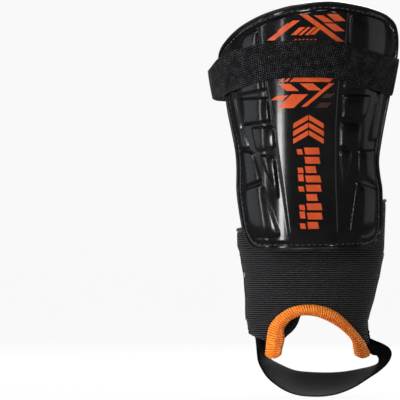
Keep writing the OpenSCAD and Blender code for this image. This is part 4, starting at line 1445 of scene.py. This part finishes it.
def pad_places(y, z, depth, side):
    """Points of a pad on one side of the sleeve, depth under the outer face of the knit."""
    cosine = np.clip((SLEEVE_Y - y) / (half_deep(z, (y < SLEEVE_Y) * 1.0) - depth), -0.95, 0.95)
    return np.stack([middle_x(z) + side * (half_wide(z) - depth) * np.sqrt(1 - cosine ** 2), y, z], -1)


rho = PAD_R * np.sin(np.linspace(0, np.pi / 2, RINGS))
phi = 2 * np.pi * np.arange(SPOKES) / SPOKES
share_r = (rho / PAD_R)[:, None]
dome_depth = (TOP_DEPTH + 6.0 * (1 - share_r ** 5) * (0.93 + 0.07 * np.cos(share_r * np.pi))
              + 0.18 * np.sin(9 * phi)[None, :] * np.exp(-((share_r - 0.9) / 0.07) ** 2))
pad_y = SLEEVE_Y + rho[:, None] * np.cos(phi)[None, :]
pad_z = PAD_Z + rho[:, None] * np.sin(phi)[None, :]
around_pad = [(j, (j + 1) % SPOKES) for j in range(SPOKES)]
for side, names in ((-1, ("ankle_pad_inner", "pad_cover_inner")),
                    (1, ("ankle_pad_outer", "pad_cover_outer"))):
    dome, wall = (pad_places(pad_y, pad_z, depth, side) for depth in (dome_depth, WALL_DEPTH))
    points = np.concatenate([dome[1:].reshape(-1, 3), dome[:1, 0], wall[1:-1].reshape(-1, 3), wall[:1, 0]])
    peak = (RINGS - 1) * SPOKES
    back = peak + 1
    centre = back + (RINGS - 2) * SPOKES
    rim, back_rim = (RINGS - 2) * SPOKES, back + (RINGS - 3) * SPOKES
    faces = [tuple(f) for f in weave_faces(RINGS - 1, SPOKES, around=True)]
    faces += [(peak, j, k) for j, k in around_pad]
    faces += [tuple(f + back) for f in weave_faces(RINGS - 2, SPOKES, around=True)]
    faces += [(centre, back + j, back + k) for j, k in around_pad]
    faces += [(rim + j, rim + k, back_rim + k, back_rim + j) for j, k in around_pad]
    uv = np.stack([points[:, 1], points[:, 2]], -1)
    cover = make_piece("padded_" + names[1], points, faces, lining_knit, uv)
    outward(cover)
    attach(cover, "sleeve")
    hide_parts(*names)
    ring_i = int(np.argmin(np.abs(rho - 19.8)))
    edge_up = np.tile([-side * 1.0, 0, 0], (SPOKES, 1))
    edge_row = stitch_row("pad_stitches_" + ("outer" if side > 0 else "inner"),
                          dome[ring_i] + [[-side * 0.25, 0, 0]], edge_up, 2.6, (1.9, 0.6, 0.5), black_thread,
                          closed=True)
    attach(edge_row, "sleeve")

# %% [markdown]
# ## Plate and foam
# The plate and the foam stay as the CAD model has them, closed in by the skin, the facing and the rim. They
# still get their own finishes: a rough milky plastic, and a closed-cell foam with fine pores.

# %% Finishes of the hidden layers
plate_plastic = Finish("plate_plastic", Roughness=0.45, Specular_IOR_Level=0.4)
place = plate_plastic.place()
flow = plate_plastic.noise(place, 0.06, 4.0)
plate_plastic.colour(flow, (0.10, 0.10, 0.105), (0.17, 0.17, 0.18))
plate_plastic.bump(plate_plastic.noise(place, 1.8, 2.0), 0.05, 0.6)
foam_cells = Finish("closed_cell_foam", Roughness=0.95, Specular_IOR_Level=0.2)
place = foam_cells.place()
pores = foam_cells.any.node("ShaderNodeTexVoronoi", {"feature": "DISTANCE_TO_EDGE"},
                            {"Vector": place, "Scale": 1.4})
foam_cells.colour(pores.step(0.0, 0.25), (0.02, 0.02, 0.021), (0.07, 0.07, 0.073))
foam_cells.bump(pores.step(0.0, 0.3), 0.25, 0.8)
for node, finish in (("stiffener_plate", plate_plastic), ("foam_backing", foam_cells)):
    part = bpy.data.objects[node]
    part.data.materials.clear()
    part.data.materials.append(finish.material)
    print(node, "now", finish.material.name)


# %% Print the size of the whole visual
low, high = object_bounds()
print("visual box", [round(v, 4) for v in low], [round(v, 4) for v in high])
